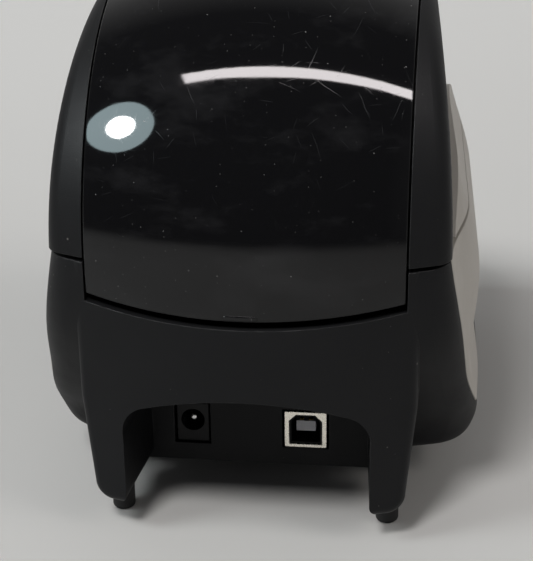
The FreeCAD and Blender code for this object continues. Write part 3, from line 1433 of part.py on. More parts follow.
STUD = tuple(f"({number:.6f})" for number in idler_at)
node("platen_gear", gear("platen_gear", platen_at, teeth["platen"], platen_phase, "size.platen_shaft_radius"))
node("idler_gear", gear("idler_gear", idler_at, teeth["idler"], idler_phase,
                        "size.stud_radius + size.running_gap"))
node("motor_pinion", gear("motor_pinion", motor_at, teeth["pinion"], pinion_phase, "size.motor_shaft_radius"))
STUD_FACE = f"({GEAR_OUT} + size.fit_gap)"
stud_head = rod("stud_head", "x", (STUD_FACE, f"{STUD_FACE} + size.stud_head_height"),
                "size.stud_head_radius", STUD)
node("idler_stud", fuse("idler_stud", rod("stud_pin", "x", ("size.side_plate_x", STUD_FACE),
                                         "size.stud_radius", STUD), stud_head))
MOTOR_IN = "(size.side_plate_x - size.motor_length)"
motor_can = rod("motor_can", "x", (MOTOR_IN, "size.side_plate_x"), "size.motor_radius", MOTOR)
motor_bore = rod("motor_bore", "x", (f"{MOTOR_IN} + size.motor_length / 2", "size.side_plate_x"),
                 "size.motor_shaft_radius + size.running_gap", MOTOR)
node("motor", cut("motor", motor_can, motor_bore))
node("motor_shaft", rod("motor_shaft", "x", (f"{MOTOR_IN} + size.motor_length / 2 + size.fit_gap", GEAR_OUT),
                        "size.motor_shaft_radius", MOTOR))

# Side plates and crossbars of the mechanism

LEVER = (f"({SLOT_Y} + size.lever_y)", f"({BODY_TOP} - size.lever_depth)")


SIDE_Y = (f"({SLOT_Y} + size.side_plate_front)", f"({SLOT_Y} + size.side_plate_rear)")
REAR_BAR_TOP = "(size.rear_bar_height + size.crossbar_height)"


def side_plate(label, span, holes):
    """An upright plate that follows the slope of the front wall, with a square foot on the floor plate."""
    upper = common(label + "_upper", box(label + "_blank", span, SIDE_Y, (PLATE_TOP, DECK[0])), body_deck)
    foot = box(label + "_foot", span, SIDE_Y, (PLATE_TOP, REAR_BAR_TOP))
    tools = [rod(label + "_hole", "x", span, radius, place) for radius, place in holes]
    return node(label, cut(label, fuse(label + "_full", upper, foot), *tools))


left_span, right_span = both_sides("size.side_plate_x", SIDE_OUT)
shared_holes = [("size.bush_radius", PLATEN), ("size.pivot_radius", PIVOT)]
side_plate("mech_side_left", left_span, shared_holes + [
    ("size.stud_radius", STUD), ("size.motor_shaft_radius + size.motor_shaft_room", MOTOR)])
side_plate("mech_side_right", right_span, shared_holes + [("size.lever_pin_radius", LEVER)])
BAR = even("size.side_plate_x")
FRONT_BAR = f"({BODY_TOP} - size.front_bar_depth)"
group("mech_crossbars", [
    box("front_bar", BAR, (SIDE_Y[0], f"{SIDE_Y[0]} + size.crossbar_depth"),
        (FRONT_BAR, f"{FRONT_BAR} + size.crossbar_height")),
    box("rear_bar", BAR, (f"{SIDE_Y[1]} - size.crossbar_depth", SIDE_Y[1]),
        ("size.rear_bar_height", REAR_BAR_TOP)),
])

# Print head on its heat sink, which swings on the pivot rod

HEAD_X = even("size.head_width / 2")
HEAD_BACK = "(-size.head_gap - size.head_thickness)"
SINK_BACK = f"({HEAD_BACK} - size.sink_thickness)"
node("print_head", path_box("print_head", HEAD_X, (HEAD_BACK, "-size.head_gap"),
                            ("-size.head_height / 2", "size.head_height / 2")))
sink_block = path_box("sink_block", HEAD_X, (SINK_BACK, HEAD_BACK), ("size.sink_bottom", "size.sink_top"))
ears = []
ear_holes = []
for span in both_sides("size.head_width / 2 - size.ear_thickness", "size.head_width / 2"):
    ears.append(rod("ear_round", "x", span, "size.ear_radius", PIVOT))
    ears.append(path_box("ear_web", span, ("size.pivot_y", HEAD_BACK),
                         ("size.pivot_z", "size.sink_bottom + size.ear_height")))
    ear_holes.append(rod("ear_hole", "x", span, "size.pivot_radius + size.running_gap", PIVOT))
node("head_heatsink", cut("head_heatsink", fuse("sink_full", sink_block, *ears), *ear_holes))
node("head_pivot_rod", rod("head_pivot_rod", "x", even(SIDE_OUT), "size.pivot_radius", PIVOT))

# Label chute with its sliding edge guide

GUIDE = ("size.guide_x", "size.guide_x + size.guide_width")
groove_x = ("size.guide_x - size.guide_travel - size.guide_play",
            "size.guide_x + size.guide_width + size.guide_play")
GROOVE = ("size.groove_bottom", "size.groove_bottom + size.groove_height")
chute_plate = path_box("chute_plate", BAR, ("size.chute_front", "size.chute_back"),
                       ("size.chute_bottom", "size.chute_top"))
node("label_chute", cut("label_chute", chute_plate,
                        path_box("chute_groove", groove_x, ("size.chute_front", "size.chute_back"), GROOVE)))
GUIDE_FACE = "(size.chute_back + size.fit_gap)"
guide_block = path_box("guide_block", GUIDE, (GUIDE_FACE, f"{GUIDE_FACE} + size.guide_depth"),
                       ("size.guide_bottom", "size.guide_bottom + size.guide_height"))
tongue_x = ("size.guide_x + size.guide_tongue_inset",
            "size.guide_x + size.guide_width - size.guide_tongue_inset")
guide_tongue = path_box("guide_tongue", tongue_x, ("size.chute_front - size.guide_tongue_reach", GUIDE_FACE),
                        (f"{GROOVE[0]} + size.fit_gap", f"{GROOVE[1]} - size.fit_gap"))
node("label_edge_guide", fuse("label_edge_guide", guide_block, guide_tongue))

# Release lever on the right side plate

LEVER_IN = f"-({SIDE_OUT} + size.lever_gap)"
LEVER_OUT = f"-({SIDE_OUT} + size.lever_gap + size.lever_thickness)"
lever_hub = rod("lever_hub", "x", (LEVER_OUT, LEVER_IN), "size.lever_hub_radius", LEVER)
lever_tilt = Rotation(Vector(1, 0, 0), -cell("lever_lean"))
lever_arm = doc.addObject("Part::Box", "lever_arm")
lever_arm.setExpression("Length", "size.lever_thickness")
lever_arm.setExpression("Width", "size.lever_width")
lever_arm.setExpression("Height", "size.lever_length")
lever_root = Vector(mm(LEVER_OUT), mm(LEVER[0]), mm(LEVER[1]))
lever_corner = lever_root - lever_tilt.multVec(Vector(0, cell("lever_width") / 2, 0))
lever_arm.Placement = Placement(lever_corner, lever_tilt)
lever_tip = lever_root + lever_tilt.multVec(Vector(0, 0, cell("lever_length")))
lever_knob = rod("lever_knob", "x", (f"{LEVER_OUT} - size.lever_thickness", LEVER_IN), "size.lever_knob_radius",
                 (f"({lever_tip.y:.6f})", f"({lever_tip.z:.6f})"))
lever_bore = rod("lever_bore", "x", (LEVER_OUT, LEVER_IN), "size.lever_pin_radius + size.running_gap", LEVER)
node("release_lever", cut("release_lever", fuse("lever_full", lever_hub, lever_arm, lever_knob), lever_bore))
PIN_HEAD = f"{LEVER_OUT} - size.fit_gap"
node("lever_pin", fuse(
    "lever_pin",
    rod("lever_pin_shank", "x", (PIN_HEAD, "-size.side_plate_x"), "size.lever_pin_radius", LEVER),
    rod("lever_pin_head", "x", (f"{PIN_HEAD} - size.lever_pin_head", PIN_HEAD),
        "size.lever_pin_radius + size.lever_pin_rim", LEVER),
))

doc.recompute()
broken = [o.Label for o in doc.Objects if "Invalid" in o.State or "Error" in o.State]
broken += [label for label, piece in parts.items() if piece.Shape.isNull() or not piece.Shape.isValid()]
if broken:
    raise RuntimeError("pieces that failed: " + ", ".join(broken))
os.makedirs("parts", exist_ok=True)
for label, piece in parts.items():
    piece.Shape.exportStep(f"parts/{label}.step")
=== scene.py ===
import json
import math

import bpy
from mathutils import Matrix, Vector


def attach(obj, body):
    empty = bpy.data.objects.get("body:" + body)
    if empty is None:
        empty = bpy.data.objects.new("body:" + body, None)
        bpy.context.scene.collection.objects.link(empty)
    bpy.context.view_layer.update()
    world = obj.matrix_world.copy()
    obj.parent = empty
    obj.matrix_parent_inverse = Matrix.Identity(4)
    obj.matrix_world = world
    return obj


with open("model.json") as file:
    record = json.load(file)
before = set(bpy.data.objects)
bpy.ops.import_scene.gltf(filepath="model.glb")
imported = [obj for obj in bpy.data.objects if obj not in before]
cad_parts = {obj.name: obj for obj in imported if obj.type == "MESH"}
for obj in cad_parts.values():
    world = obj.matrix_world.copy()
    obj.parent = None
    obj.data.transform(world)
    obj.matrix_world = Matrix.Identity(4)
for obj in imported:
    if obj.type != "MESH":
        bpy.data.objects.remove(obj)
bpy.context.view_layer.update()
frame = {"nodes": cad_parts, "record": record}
scene = bpy.context.scene
scene.view_settings.view_transform = "Standard"


# Camera at the photograph's place, behind the printer and a little above it.
# The picture is in pixels, the sensor in millimetres and the rest in metres.

IMAGE_SIZE = (533, 561)
FOCAL_PIXELS = 1543
AXIS_BELOW_MIDDLE = 41.2
SENSOR = 36
CLIP_START = 0.01
EYE = Vector((-0.0538, 0.4492, 0.2278))
YAW, PITCH, ROLL = (math.radians(angle) for angle in (7.52, 24.0, -0.85))


def make_camera():
    data = bpy.data.cameras.new("camera")
    long_side = max(IMAGE_SIZE)
    data.sensor_width = SENSOR
    data.lens = FOCAL_PIXELS / long_side * SENSOR
    data.shift_y = AXIS_BELOW_MIDDLE / long_side
    data.clip_start = CLIP_START
    camera = bpy.data.objects.new("camera", data)
    scene.collection.objects.link(camera)
    level = Vector((math.sin(YAW), -math.cos(YAW), 0))
    across = Vector((-math.cos(YAW), -math.sin(YAW), 0))
    up = Vector((0, 0, 1))
    forward = level * math.cos(PITCH) - up * math.sin(PITCH)
    above = level * math.sin(PITCH) + up * math.cos(PITCH)
    right = across * math.cos(ROLL) + above * math.sin(ROLL)
    top = above * math.cos(ROLL) - across * math.sin(ROLL)
    turn = Matrix((right, top, -forward)).transposed().to_4x4()
    camera.matrix_world = Matrix.Translation(EYE) @ turn
    scene.camera = camera


# Node helpers

# The sockets of a mix node that serve its colours
MIX_SHARE, MIX_FIRST, MIX_SECOND, MIX_RESULT = 0, 6, 7, 2


def wire(tree, socket, value):
    """Link a socket to another node's output, or set it to a plain value."""
    if isinstance(value, bpy.types.NodeSocket):
        tree.links.new(value, socket)
    elif isinstance(value, tuple) and len(value) == 3 and socket.type == "RGBA":
        socket.default_value = (*value, 1)
    else:
        socket.default_value = value


def add(tree, kind, settings=None, **inputs):
    """A new node with its settings and inputs; an input's underscores stand for spaces."""
    made = tree.nodes.new(kind)
    for name, value in (settings or {}).items():
        setattr(made, name, value)
    for name, value in inputs.items():
        wire(tree, made.inputs[name.replace("_", " ")], value)
    return made


def blend_colours(tree, share, first, second):
    """The first colour where share is 0, and the second where it is 1."""
    made = add(tree, "ShaderNodeMix", {"data_type": "RGBA"})
    wire(tree, made.inputs[MIX_SHARE], share)
    wire(tree, made.inputs[MIX_FIRST], first)
    wire(tree, made.inputs[MIX_SECOND], second)
    return made.outputs[MIX_RESULT]


def span(tree, value, low, high, to_low=0.0, to_high=1.0):
    """Map a value from low..high to to_low..to_high, held at both ends."""
    made = add(tree, "ShaderNodeMapRange", Value=value, From_Min=low, From_Max=high,
               To_Min=to_low, To_Max=to_high)
    return made.outputs[0]


def maths(tree, operation, first, second=0.0):
    made = add(tree, "ShaderNodeMath", {"operation": operation})
    wire(tree, made.inputs[0], first)
    wire(tree, made.inputs[1], second)
    return made.outputs[0]


def plus(tree, first, second):
    return maths(tree, "ADD", first, second)


def minus(tree, first, second):
    return maths(tree, "SUBTRACT", first, second)


def times(tree, first, second):
    return maths(tree, "MULTIPLY", first, second)


def larger(tree, first, second):
    return maths(tree, "MAXIMUM", first, second)


def vector_maths(tree, operation, first, second):
    """The outputs of a sum on two vectors."""
    made = add(tree, "ShaderNodeVectorMath", {"operation": operation})
    wire(tree, made.inputs[0], first)
    wire(tree, made.inputs[1], second)
    return made.outputs


def split(tree, vector):
    """The X, Y and Z of a vector, or the red, green and blue of a colour."""
    return add(tree, "ShaderNodeSeparateXYZ", Vector=vector).outputs


def place(tree):
    """Coordinates fixed to the piece, in metres."""
    return tree.nodes.new("ShaderNodeTexCoord").outputs["Object"]


def scaled(tree, vector, scale):
    return add(tree, "ShaderNodeMapping", Vector=vector, Scale=scale).outputs[0]


# The range that holds most of a noise's values
NOISE_LOW, NOISE_HIGH = 0.3, 0.7


def noise(tree, vector, scale, detail=2.0, rough=0.5):
    """Smooth noise from 0 to 1, with scale in waves to the metre."""
    made = add(tree, "ShaderNodeTexNoise", Vector=vector, Scale=scale, Detail=detail,
               Roughness=rough)
    return made.outputs[0]


def cells(tree, vector, spacing, dimensions):
    """The outputs of a pattern of cells about spacing apart."""
    return add(tree, "ShaderNodeTexVoronoi", {"voronoi_dimensions": dimensions},
               Vector=vector, Scale=1 / spacing).outputs


def chosen(tree, draw, share):
    """1 in a share of the cells and 0 in the rest, by a number that each cell has."""
    return maths(tree, "GREATER_THAN", draw, 1 - share)


# The smallest grain beside the largest, and the part of a grain's radius that is solid
SMALLEST_GRAIN = 0.35
SOLID_GRAIN = 0.5


def flecks(tree, vector, spacing, radius, share, dimensions="3D"):
    """Scattered grains of dust: one to a cell, in a share of the cells, up to radius in size."""
    grid = cells(tree, vector, spacing, dimensions)
    draw, size, _ = split(tree, grid["Color"])
    largest = radius / spacing
    reach = span(tree, size, 0, 1, SMALLEST_GRAIN * largest, largest)
    inside = span(tree, maths(tree, "DIVIDE", grid["Distance"], reach), 1.0, SOLID_GRAIN)
    return times(tree, inside, chosen(tree, draw, share))


# A hairline is full to these shares of its width and length from its middle, and fades to the half
SOLID_WIDTH = 1 / 6
SOLID_LENGTH = 1 / 5


def hairlines(tree, flat, spacing, width, length, share):
    """Short scratches on flat coordinates: one to a cell, each at its own angle."""
    grid = cells(tree, flat, spacing, "2D")
    x, y, _ = split(tree, vector_maths(tree, "SUBTRACT", flat, grid["Position"])[0])
    turn, draw, _ = split(tree, grid["Color"])
    angle = times(tree, turn, math.pi)
    cosine, sine = maths(tree, "COSINE", angle), maths(tree, "SINE", angle)
    along = plus(tree, times(tree, x, cosine), times(tree, y, sine))
    across = minus(tree, times(tree, y, cosine), times(tree, x, sine))
    thin = span(tree, maths(tree, "ABSOLUTE", across), width / 2, width * SOLID_WIDTH)
    short = span(tree, maths(tree, "ABSOLUTE", along), length / 2, length * SOLID_LENGTH)
    return times(tree, times(tree, thin, short), chosen(tree, draw, share))


# The cosine between the true and the softened normal on open faces and on sharp edges
OPEN_FACE, SHARP_EDGE = 0.99, 0.86
BEVEL_SAMPLES = 4


def edge_mask(tree, radius):
    """1 along sharp edges and 0 on open faces, with the softened normal that gives it."""
    soft = add(tree, "ShaderNodeBevel", {"samples": BEVEL_SAMPLES}, Radius=radius).outputs[0]
    plain = tree.nodes.new("ShaderNodeNewGeometry").outputs["Normal"]
    cosine = vector_maths(tree, "DOT_PRODUCT", soft, plain)["Value"]
    return span(tree, cosine, OPEN_FACE, SHARP_EDGE), soft


def shade(colour, factor, lift=0.0):
    """A colour made darker or lighter, held at white."""
    return tuple(min(1.0, channel * factor + lift) for channel in colour)


# Materials

def new_material(name):
    material = bpy.data.materials.new(name)
    material.use_nodes = True
    tree = material.node_tree
    shader = tree.nodes["Principled BSDF"]
    return material, tree, shader


def dress(tree, shader, tone, gloss, height, strength, distance, normal):
    """Give a shader its colour, its roughness and a bump on top of the softened normal."""
    tree.links.new(tone, shader.inputs["Base Color"])
    tree.links.new(gloss, shader.inputs["Roughness"])
    bump = add(tree, "ShaderNodeBump", Strength=strength, Distance=distance, Height=height,
               Normal=normal)
    tree.links.new(bump.outputs[0], shader.inputs["Normal"])


PLASTIC_EDGE = 0.0004
PLASTIC_CLOUDS, PLASTIC_GLOSS, PLASTIC_WORN_HIGHLIGHTS = 22, 70, 260
# The lighter edge patches are partly wear and partly a painted highlight, standing for light caught
# on the edges
WORN_HIGHLIGHT_LOW, WORN_HIGHLIGHT_HIGH = 0.4, 0.62
LEAST_WORN_HIGHLIGHT = 0.25
WORN_HIGHLIGHT_FACTOR, WORN_HIGHLIGHT_LIFT = 1.8, 0.035
RUB_POLISH = 0.1
GLOSS_BELOW, GLOSS_ABOVE = 0.05, 0.06
GRAIN_DEPTH = 0.25
DUST_COLOUR = (0.32, 0.31, 0.29)

# Dust as spacing, radius and share of the cells
PLASTIC_SPECKS = (0.006, 0.0004, 0.6)
PLASTIC_LINT = (0.0022, 0.00016, 0.5)


def moulded(name, colour, rough, grain=0.3, grain_size=0.0004, mottling=0.12, wear_and_highlight=0.25,
            dust=0.1, specular=0.5):
    """Moulded plastic: fine eroded grain, uneven tone and gloss, settled dust, and edges lightened
    in patches, partly as wear and partly as a painted highlight.
    """
    material, tree, shader = new_material(name)
    where = place(tree)
    edge_band, soft_normal = edge_mask(tree, PLASTIC_EDGE)

    cloud = span(tree, noise(tree, where, PLASTIC_CLOUDS, 4, 0.6), NOISE_LOW, NOISE_HIGH)
    tone = blend_colours(tree, cloud, shade(colour, 1 - mottling), shade(colour, 1 + mottling))
    # Edges lighten in patches: partly wear, partly a painted highlight where light would catch them
    worn_highlight_patches = span(tree, noise(tree, where, PLASTIC_WORN_HIGHLIGHTS, 3), WORN_HIGHLIGHT_LOW, WORN_HIGHLIGHT_HIGH,
                LEAST_WORN_HIGHLIGHT * wear_and_highlight, wear_and_highlight)
    worn_highlight_tone = shade(colour, WORN_HIGHLIGHT_FACTOR, WORN_HIGHLIGHT_LIFT)
    tone = blend_colours(tree, times(tree, edge_band, worn_highlight_patches), tone, worn_highlight_tone)
    grains = larger(tree, flecks(tree, where, *PLASTIC_SPECKS), flecks(tree, where, *PLASTIC_LINT))
    tone = blend_colours(tree, times(tree, grains, dust), tone, DUST_COLOUR)

    gloss = span(tree, noise(tree, where, PLASTIC_GLOSS, 4, 0.65), NOISE_LOW, NOISE_HIGH,
                 rough - GLOSS_BELOW, rough + GLOSS_ABOVE)
    gloss = minus(tree, gloss, times(tree, edge_band, RUB_POLISH * wear_and_highlight))

    fine = noise(tree, where, 1 / grain_size, 2, 0.6)
    dress(tree, shader, tone, gloss, fine, grain, grain_size * GRAIN_DEPTH, soft_normal)
    shader.inputs["Specular IOR Level"].default_value = specular
    return material


METAL_EDGE = 0.0003
METAL_GRAIN, METAL_PATCHES = 900, 60
METAL_GRAIN_DEPTH = 0.00005
PATCH_LOW, PATCH_HIGH = 0.35, 0.7
# Painted highlight along the edges: how much lighter they are, and how much of that they take
EDGE_HIGHLIGHT_FACTOR, EDGE_HIGHLIGHT_SHARE = 1.25, 0.6
DRAWN_BELOW, DRAWN_ABOVE = 0.07, 0.1


def metal(name, colour, rough, brushed=(1, 1, 1), strength=0.15, stain=0.12):
    """Bare or plated metal with drawn grain, dull patches and a painted highlight along its edges.
    """
    material, tree, shader = new_material(name)
    where = place(tree)
    edge_band, soft_normal = edge_mask(tree, METAL_EDGE)

    patches = span(tree, noise(tree, where, METAL_PATCHES, 4, 0.6), PATCH_LOW, PATCH_HIGH)
    tone = blend_colours(tree, patches, shade(colour, 1 - 2 * stain), colour)
    # Painted highlight: the edges are lightened to stand for light caught on them
    tone = blend_colours(tree, times(tree, edge_band, EDGE_HIGHLIGHT_SHARE), tone,
                         shade(colour, EDGE_HIGHLIGHT_FACTOR))

    grain = noise(tree, scaled(tree, where, brushed), METAL_GRAIN, 3, 0.6)
    gloss = span(tree, grain, NOISE_LOW, NOISE_HIGH, rough - DRAWN_BELOW, rough + DRAWN_ABOVE)
    dress(tree, shader, tone, gloss, grain, strength, METAL_GRAIN_DEPTH, soft_normal)
    shader.inputs["Metallic"].default_value = 1.0
    return material


# The axis of the lid's barrel (y, z) and its radius, for marks that wrap round it
BARREL_AXIS = (0.0195, 0.076)
BARREL_RADIUS = 0.075

WINDOW_EDGE = 0.0005
WINDOW_SPECULAR = 0.35
WINDOW_BLACK = (0.003, 0.003, 0.0035)

# Hairlines as spacing, width, length and share of the cells, and how far they bend
LONG_HAIRLINES = (0.011, 0.00015, 0.009, 0.45)
SHORT_HAIRLINES = (0.0052, 0.0001, 0.0042, 0.5)
BEND_SCALE, BEND_REACH = 120, 0.0016
HANDLED_SCALE, HANDLED_LOW, HANDLED_HIGH = 22, 0.45, 0.62
SCUFF_COLOUR, SCUFF_SHARE, SCUFF_ROUGH = (0.3, 0.31, 0.33), 0.08, 0.2

# Scuffs fade between these heights to the share that is left on the tail
TAIL_LOW, TAIL_HIGH, TAIL_SCUFFS = 0.085, 0.1, 0.2

# Dust as spacing, radius and share of the cells
WINDOW_SPECKS = (0.0065, 0.00026, 0.16)
WINDOW_LINT = (0.0028, 0.00014, 0.2)
SPECK_COLOUR, SPECK_SHARE, SPECK_ROUGH = (0.4, 0.4, 0.39), 0.24, 0.4

SMEAR_STRETCH, SMEAR_SCALE = (1, 1, 2.2), 34
SMEAR_LOW, SMEAR_HIGH = 0.52, 0.78
SMEAR_COLOUR, SMEAR_SHARE = (0.16, 0.16, 0.17), 0.05
CLEAN_ROUGH, SMEARED_ROUGH = 0.04, 0.1

RIPPLE_SCALE, RIPPLE_STRENGTH, RIPPLE_DEPTH = 25, 0.06, 0.0002


def wrapped(tree, where):
    """Flat coordinates on the lid's barrel: along its axis, and round it."""
    x, y, z = split(tree, where)
    round_y = minus(tree, y, BARREL_AXIS[0])
    round_z = minus(tree, z, BARREL_AXIS[1])
    around = times(tree, maths(tree, "ARCTAN2", round_z, round_y), BARREL_RADIUS)
    return add(tree, "ShaderNodeCombineXYZ", X=x, Y=around).outputs[0]


def window_scuffs(tree, where, flat):
    """Bent hairlines in the patches that are handled, fainter on the tail."""
    sway = add(tree, "ShaderNodeTexNoise", Vector=flat, Scale=BEND_SCALE, Detail=1)
    bend = add(tree, "ShaderNodeVectorMath", {"operation": "SCALE"}, Scale=BEND_REACH)
    wire(tree, bend.inputs[0], sway.outputs["Color"])
    bent = vector_maths(tree, "ADD", flat, bend.outputs[0])[0]
    lines = larger(tree, hairlines(tree, bent, *LONG_HAIRLINES),
                   hairlines(tree, bent, *SHORT_HAIRLINES))
    handled = span(tree, noise(tree, where, HANDLED_SCALE, 3, 0.6), HANDLED_LOW, HANDLED_HIGH)
    _, _, height = split(tree, where)
    fade = span(tree, height, TAIL_LOW, TAIL_HIGH, TAIL_SCUFFS, 1.0)
    return times(tree, times(tree, lines, handled), fade)


def window_gloss(name):
    """Polished black window: hairline scuffs, dull smears and grains of dust."""
    material, tree, shader = new_material(name)
    where = place(tree)
    flat = wrapped(tree, where)
    scuffs = window_scuffs(tree, where, flat)
    specks = larger(tree, flecks(tree, flat, *WINDOW_SPECKS, "2D"),
                    flecks(tree, flat, *WINDOW_LINT, "2D"))
    smear = span(tree, noise(tree, scaled(tree, where, SMEAR_STRETCH), SMEAR_SCALE, 4, 0.7),
                 SMEAR_LOW, SMEAR_HIGH)

    tone = blend_colours(tree, times(tree, smear, SMEAR_SHARE), WINDOW_BLACK, SMEAR_COLOUR)
    tone = blend_colours(tree, times(tree, scuffs, SCUFF_SHARE), tone, SCUFF_COLOUR)
    tone = blend_colours(tree, times(tree, specks, SPECK_SHARE), tone, SPECK_COLOUR)

    gloss = span(tree, smear, 0, 1, CLEAN_ROUGH, SMEARED_ROUGH)
    gloss = plus(tree, gloss, times(tree, scuffs, SCUFF_ROUGH))
    gloss = plus(tree, gloss, times(tree, specks, SPECK_ROUGH))

    _, soft_normal = edge_mask(tree, WINDOW_EDGE)
    ripple = noise(tree, where, RIPPLE_SCALE, 1)
    dress(tree, shader, tone, gloss, ripple, RIPPLE_STRENGTH, RIPPLE_DEPTH, soft_normal)
    shader.inputs["Specular IOR Level"].default_value = WINDOW_SPECULAR
    return material


# Each plastic's wear setting lightens its edges, partly as wear and partly as a painted highlight
PLASTICS = {
    "shell_black": dict(colour=(0.0078, 0.008, 0.0087), rough=0.47, grain=0.35, wear_and_highlight=0.8,
                        dust=0.35, specular=0.14),
    "wing_grey": dict(colour=(0.39, 0.367, 0.335), rough=0.5, grain=0.25, mottling=0.05,
                      wear_and_highlight=0.15),
    "front_panel": dict(colour=(0.03, 0.03, 0.032), rough=0.4, grain=0.2),
    "button_grey": dict(colour=(0.3, 0.29, 0.27), rough=0.45, grain=0.2, mottling=0.05),
    "light_green": dict(colour=(0.2, 0.55, 0.2), rough=0.25, grain=0.05, dust=0.05),
    "board_green": dict(colour=(0.012, 0.09, 0.035), rough=0.35, grain=0.1, mottling=0.2),
    "chip_black": dict(colour=(0.02, 0.02, 0.02), rough=0.5, grain=0.2, grain_size=0.0002),
    "inner_black": dict(colour=(0.025, 0.025, 0.026), rough=0.55, dust=0.15),
    "rubber_black": dict(colour=(0.018, 0.018, 0.018), rough=0.75, grain=0.2, specular=0.3),
    "spool_grey": dict(colour=(0.33, 0.33, 0.33), rough=0.5, grain=0.2, mottling=0.05),
    "socket_black": dict(colour=(0.006, 0.006, 0.0065), rough=0.45, grain=0.1, specular=0.2),
    "tongue_grey": dict(colour=(0.38, 0.38, 0.4), rough=0.4, grain=0.1, mottling=0.05),
    "gear_white": dict(colour=(0.75, 0.74, 0.7), rough=0.4, grain=0.1, mottling=0.04, dust=0.15),
    "head_ceramic": dict(colour=(0.62, 0.6, 0.55), rough=0.25, grain=0.05, mottling=0.05),
    "lever_blue": dict(colour=(0.03, 0.12, 0.35), rough=0.4, grain=0.15),
}

METALS = {
    "can_metal": dict(colour=(0.75, 0.75, 0.74), rough=0.3),
    "steel": dict(colour=(0.6, 0.6, 0.59), rough=0.32, brushed=(0.1, 1, 1)),
    "usb_metal": dict(colour=(0.97, 0.92, 0.82), rough=0.24, strength=0.03, stain=0.08),
    "pin_metal": dict(colour=(0.85, 0.85, 0.83), rough=0.2),
    "bush_brass": dict(colour=(0.72, 0.5, 0.22), rough=0.35),
    "contact_gold": dict(colour=(0.85, 0.6, 0.25), rough=0.25),
    "motor_metal": dict(colour=(0.5, 0.5, 0.5), rough=0.38),
    "sink_metal": dict(colour=(0.62, 0.63, 0.64), rough=0.4, brushed=(0.08, 1, 1)),
}


def make_materials():
    made = {"window_gloss": window_gloss("window_gloss")}
    for name, looks in PLASTICS.items():
        made[name] = moulded(name, **looks)
    for name, looks in METALS.items():
        made[name] = metal(name, **looks)
    return made


def dress_pieces(materials):
    """Give every CAD piece the material of its slot in the record."""
    for part in frame["record"]["subparts"]:
        piece = frame["nodes"][part["node"]]
        for index in range(len(piece.data.materials)):
            piece.data.materials[index] = materials[part["material_slot"]]


# Small thumb lip moulded on the window's lower edge: a rounded bar, squarer along its outline

LIP_HALF = (0.0045, 0.0005, 0.0008)
LIP_PLACE = (0.0, 0.0929, 0.0684)
LIP_RINGS, LIP_STEPS = 16, 40
LIP_OUTLINE, LIP_PROFILE = 0.35, 0.8


def signed_power(value, power):
    return math.copysign(abs(value) ** power, value)


def make_lip(materials):
    points = []
    for ring in range(1, LIP_RINGS):
        tilt = math.pi * (ring / LIP_RINGS - 0.5)
        reach = signed_power(math.cos(tilt), LIP_PROFILE)
        out = signed_power(math.sin(tilt), LIP_PROFILE)
        for step in range(LIP_STEPS):
            turn = 2 * math.pi * step / LIP_STEPS
            points.append((LIP_HALF[0] * reach * signed_power(math.cos(turn), LIP_OUTLINE),
                           LIP_HALF[1] * out,
                           LIP_HALF[2] * reach * signed_power(math.sin(turn), LIP_OUTLINE)))
    last = (LIP_RINGS - 2) * LIP_STEPS
    faces = []
    for start in range(0, last, LIP_STEPS):
        for step in range(LIP_STEPS):
            here, after = start + step, start + (step + 1) % LIP_STEPS
            faces.append((here, here + LIP_STEPS, after + LIP_STEPS, after))
    faces.append(tuple(range(LIP_STEPS)))
    faces.append(tuple(reversed(range(last, last + LIP_STEPS))))
    mesh = bpy.data.meshes.new("window_lip")
    mesh.from_pydata(points, [], faces)
    mesh.shade_smooth()
    mesh.materials.append(materials["window_gloss"])
    lip = bpy.data.objects.new("window_lip", mesh)
    lip.location = LIP_PLACE
    scene.collection.objects.link(lip)
    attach(lip, "lid")


# Plain floor, paler far off in front of the printer

FLOOR_HALF = 4.0
FLOOR_CLOUDS = 3
FLOOR_DIM, FLOOR_LIGHT = (0.46, 0.458, 0.452), (0.5, 0.498, 0.492)
FLOOR_FAR = (0.93, 0.925, 0.915)
FAR_START, FAR_FULL = -0.05, -0.6
FLOOR_ROUGH = 0.6


def make_floor():
    mesh = bpy.data.meshes.new("floor")
    corners = [(x * FLOOR_HALF, y * FLOOR_HALF, 0) for x, y in ((-1, -1), (1, -1), (1, 1), (-1, 1))]
    mesh.from_pydata(corners, [], [(0, 1, 2, 3)])
    floor = bpy.data.objects.new("floor", mesh)
    scene.collection.objects.link(floor)
    material, tree, shader = new_material("floor_pale")
    where = place(tree)
    cloud = span(tree, noise(tree, where, FLOOR_CLOUDS, 4, 0.5), NOISE_LOW, NOISE_HIGH)
    tone = blend_colours(tree, cloud, FLOOR_DIM, FLOOR_LIGHT)
    _, y, _ = split(tree, where)
    tone = blend_colours(tree, span(tree, y, FAR_START, FAR_FULL), tone, FLOOR_FAR)
    tree.links.new(tone, shader.inputs["Base Color"])
    shader.inputs["Roughness"].default_value = FLOOR_ROUGH
    mesh.materials.append(material)


# Lights

# Name, diameter, place, target, watts and colour
SOFT_LAMPS = (
    ("rear_soft", 0.32, (0.28, 0.81, 1.18), (0, 0.06, 0.03), 13.5, (1.0, 0.985, 0.97)),
    ("side_soft", 0.55, (1.0, 0.5, 1.25), (0, 0, 0.05), 9.5, (0.95, 1.0, 1.0)),
    ("right_soft", 0.6, (-1.0, 0.4, 0.9), (0, 0, 0.06), 4.2, (1.0, 0.95, 0.9)),
)

# A long strip overhead, which faces straight down
STRIP_SIZE = (1.18, 0.085)
STRIP_PLACE = (-0.167, 0.325, 1.0)
STRIP_TURN = (0, 0, math.radians(3.3))
STRIP_WATTS, STRIP_COLOUR = 7.5, (1.0, 0.945, 0.955)

# A round lamp with a coloured ring behind it, along one line from a point on the window
MIRROR_POINT = Vector((0.032, 0.078, 0.114))
MIRROR_LINE = Vector((0.669, 0.438, 0.6))

# Name, diameter, distance along the line, watts and colour
ROUND_LAMPS = (
    ("lamp_core", 0.1, 0.6, 2.4, (1, 1, 1)),
    ("lamp_ring", 0.23, 0.61, 1.2, (0.75, 0.95, 1.0)),
)


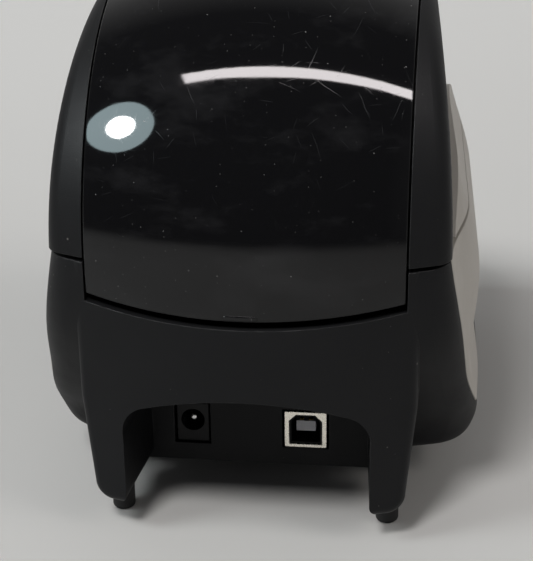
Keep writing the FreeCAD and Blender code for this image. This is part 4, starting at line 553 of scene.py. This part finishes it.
def area_lamp(name, place_at, turn, watts, colour):
    data = bpy.data.lights.new(name, "AREA")
    data.energy = watts
    data.color = colour
    lamp = bpy.data.objects.new(name, data)
    lamp.location = place_at
    lamp.rotation_euler = turn
    scene.collection.objects.link(lamp)
    return lamp


def round_lamp(name, diameter, place_at, target, watts, colour):
    aim = (Vector(target) - Vector(place_at)).to_track_quat("-Z", "Y").to_euler()
    lamp = area_lamp(name, place_at, aim, watts, colour)
    lamp.data.shape = "DISK"
    lamp.data.size = diameter
    return lamp


def strip_lamp(name):
    lamp = area_lamp(name, STRIP_PLACE, STRIP_TURN, STRIP_WATTS, STRIP_COLOUR)
    lamp.data.shape = "RECTANGLE"
    lamp.data.size, lamp.data.size_y = STRIP_SIZE
    return lamp


def make_lights():
    """Soft lamps light the scene; the strip and the round lamp only show in the gloss."""
    for row in SOFT_LAMPS:
        round_lamp(*row).visible_glossy = False
    strip_lamp("strip").visible_diffuse = False
    for name, diameter, distance, watts, colour in ROUND_LAMPS:
        place_at = MIRROR_POINT + distance * MIRROR_LINE
        lamp = round_lamp(name, diameter, place_at, MIRROR_POINT, watts, colour)
        lamp.visible_diffuse = False


# Room: dark, and pale in front of the printer and, less so, on its -X side

ROOM_DARK = (0.065, 0.065, 0.067)
ROOM_PALE = (0.5, 0.495, 0.49)
FRONT_START, FRONT_FULL = -0.25, -0.65
SIDE_START, SIDE_FULL, SIDE_SHARE = -0.55, -0.95, 0.6


def make_room():
    world = bpy.data.worlds.new("room")
    scene.world = world
    world.use_nodes = True
    tree = world.node_tree
    sky = tree.nodes.new("ShaderNodeTexCoord").outputs["Generated"]
    x, y, _ = split(tree, sky)
    pale = larger(tree, span(tree, y, FRONT_START, FRONT_FULL),
                  span(tree, x, SIDE_START, SIDE_FULL, 0.0, SIDE_SHARE))
    tone = blend_colours(tree, pale, ROOM_DARK, ROOM_PALE)
    tree.links.new(tone, tree.nodes["Background"].inputs["Color"])


make_camera()
all_materials = make_materials()
dress_pieces(all_materials)
make_lip(all_materials)
make_floor()
make_lights()
make_room()
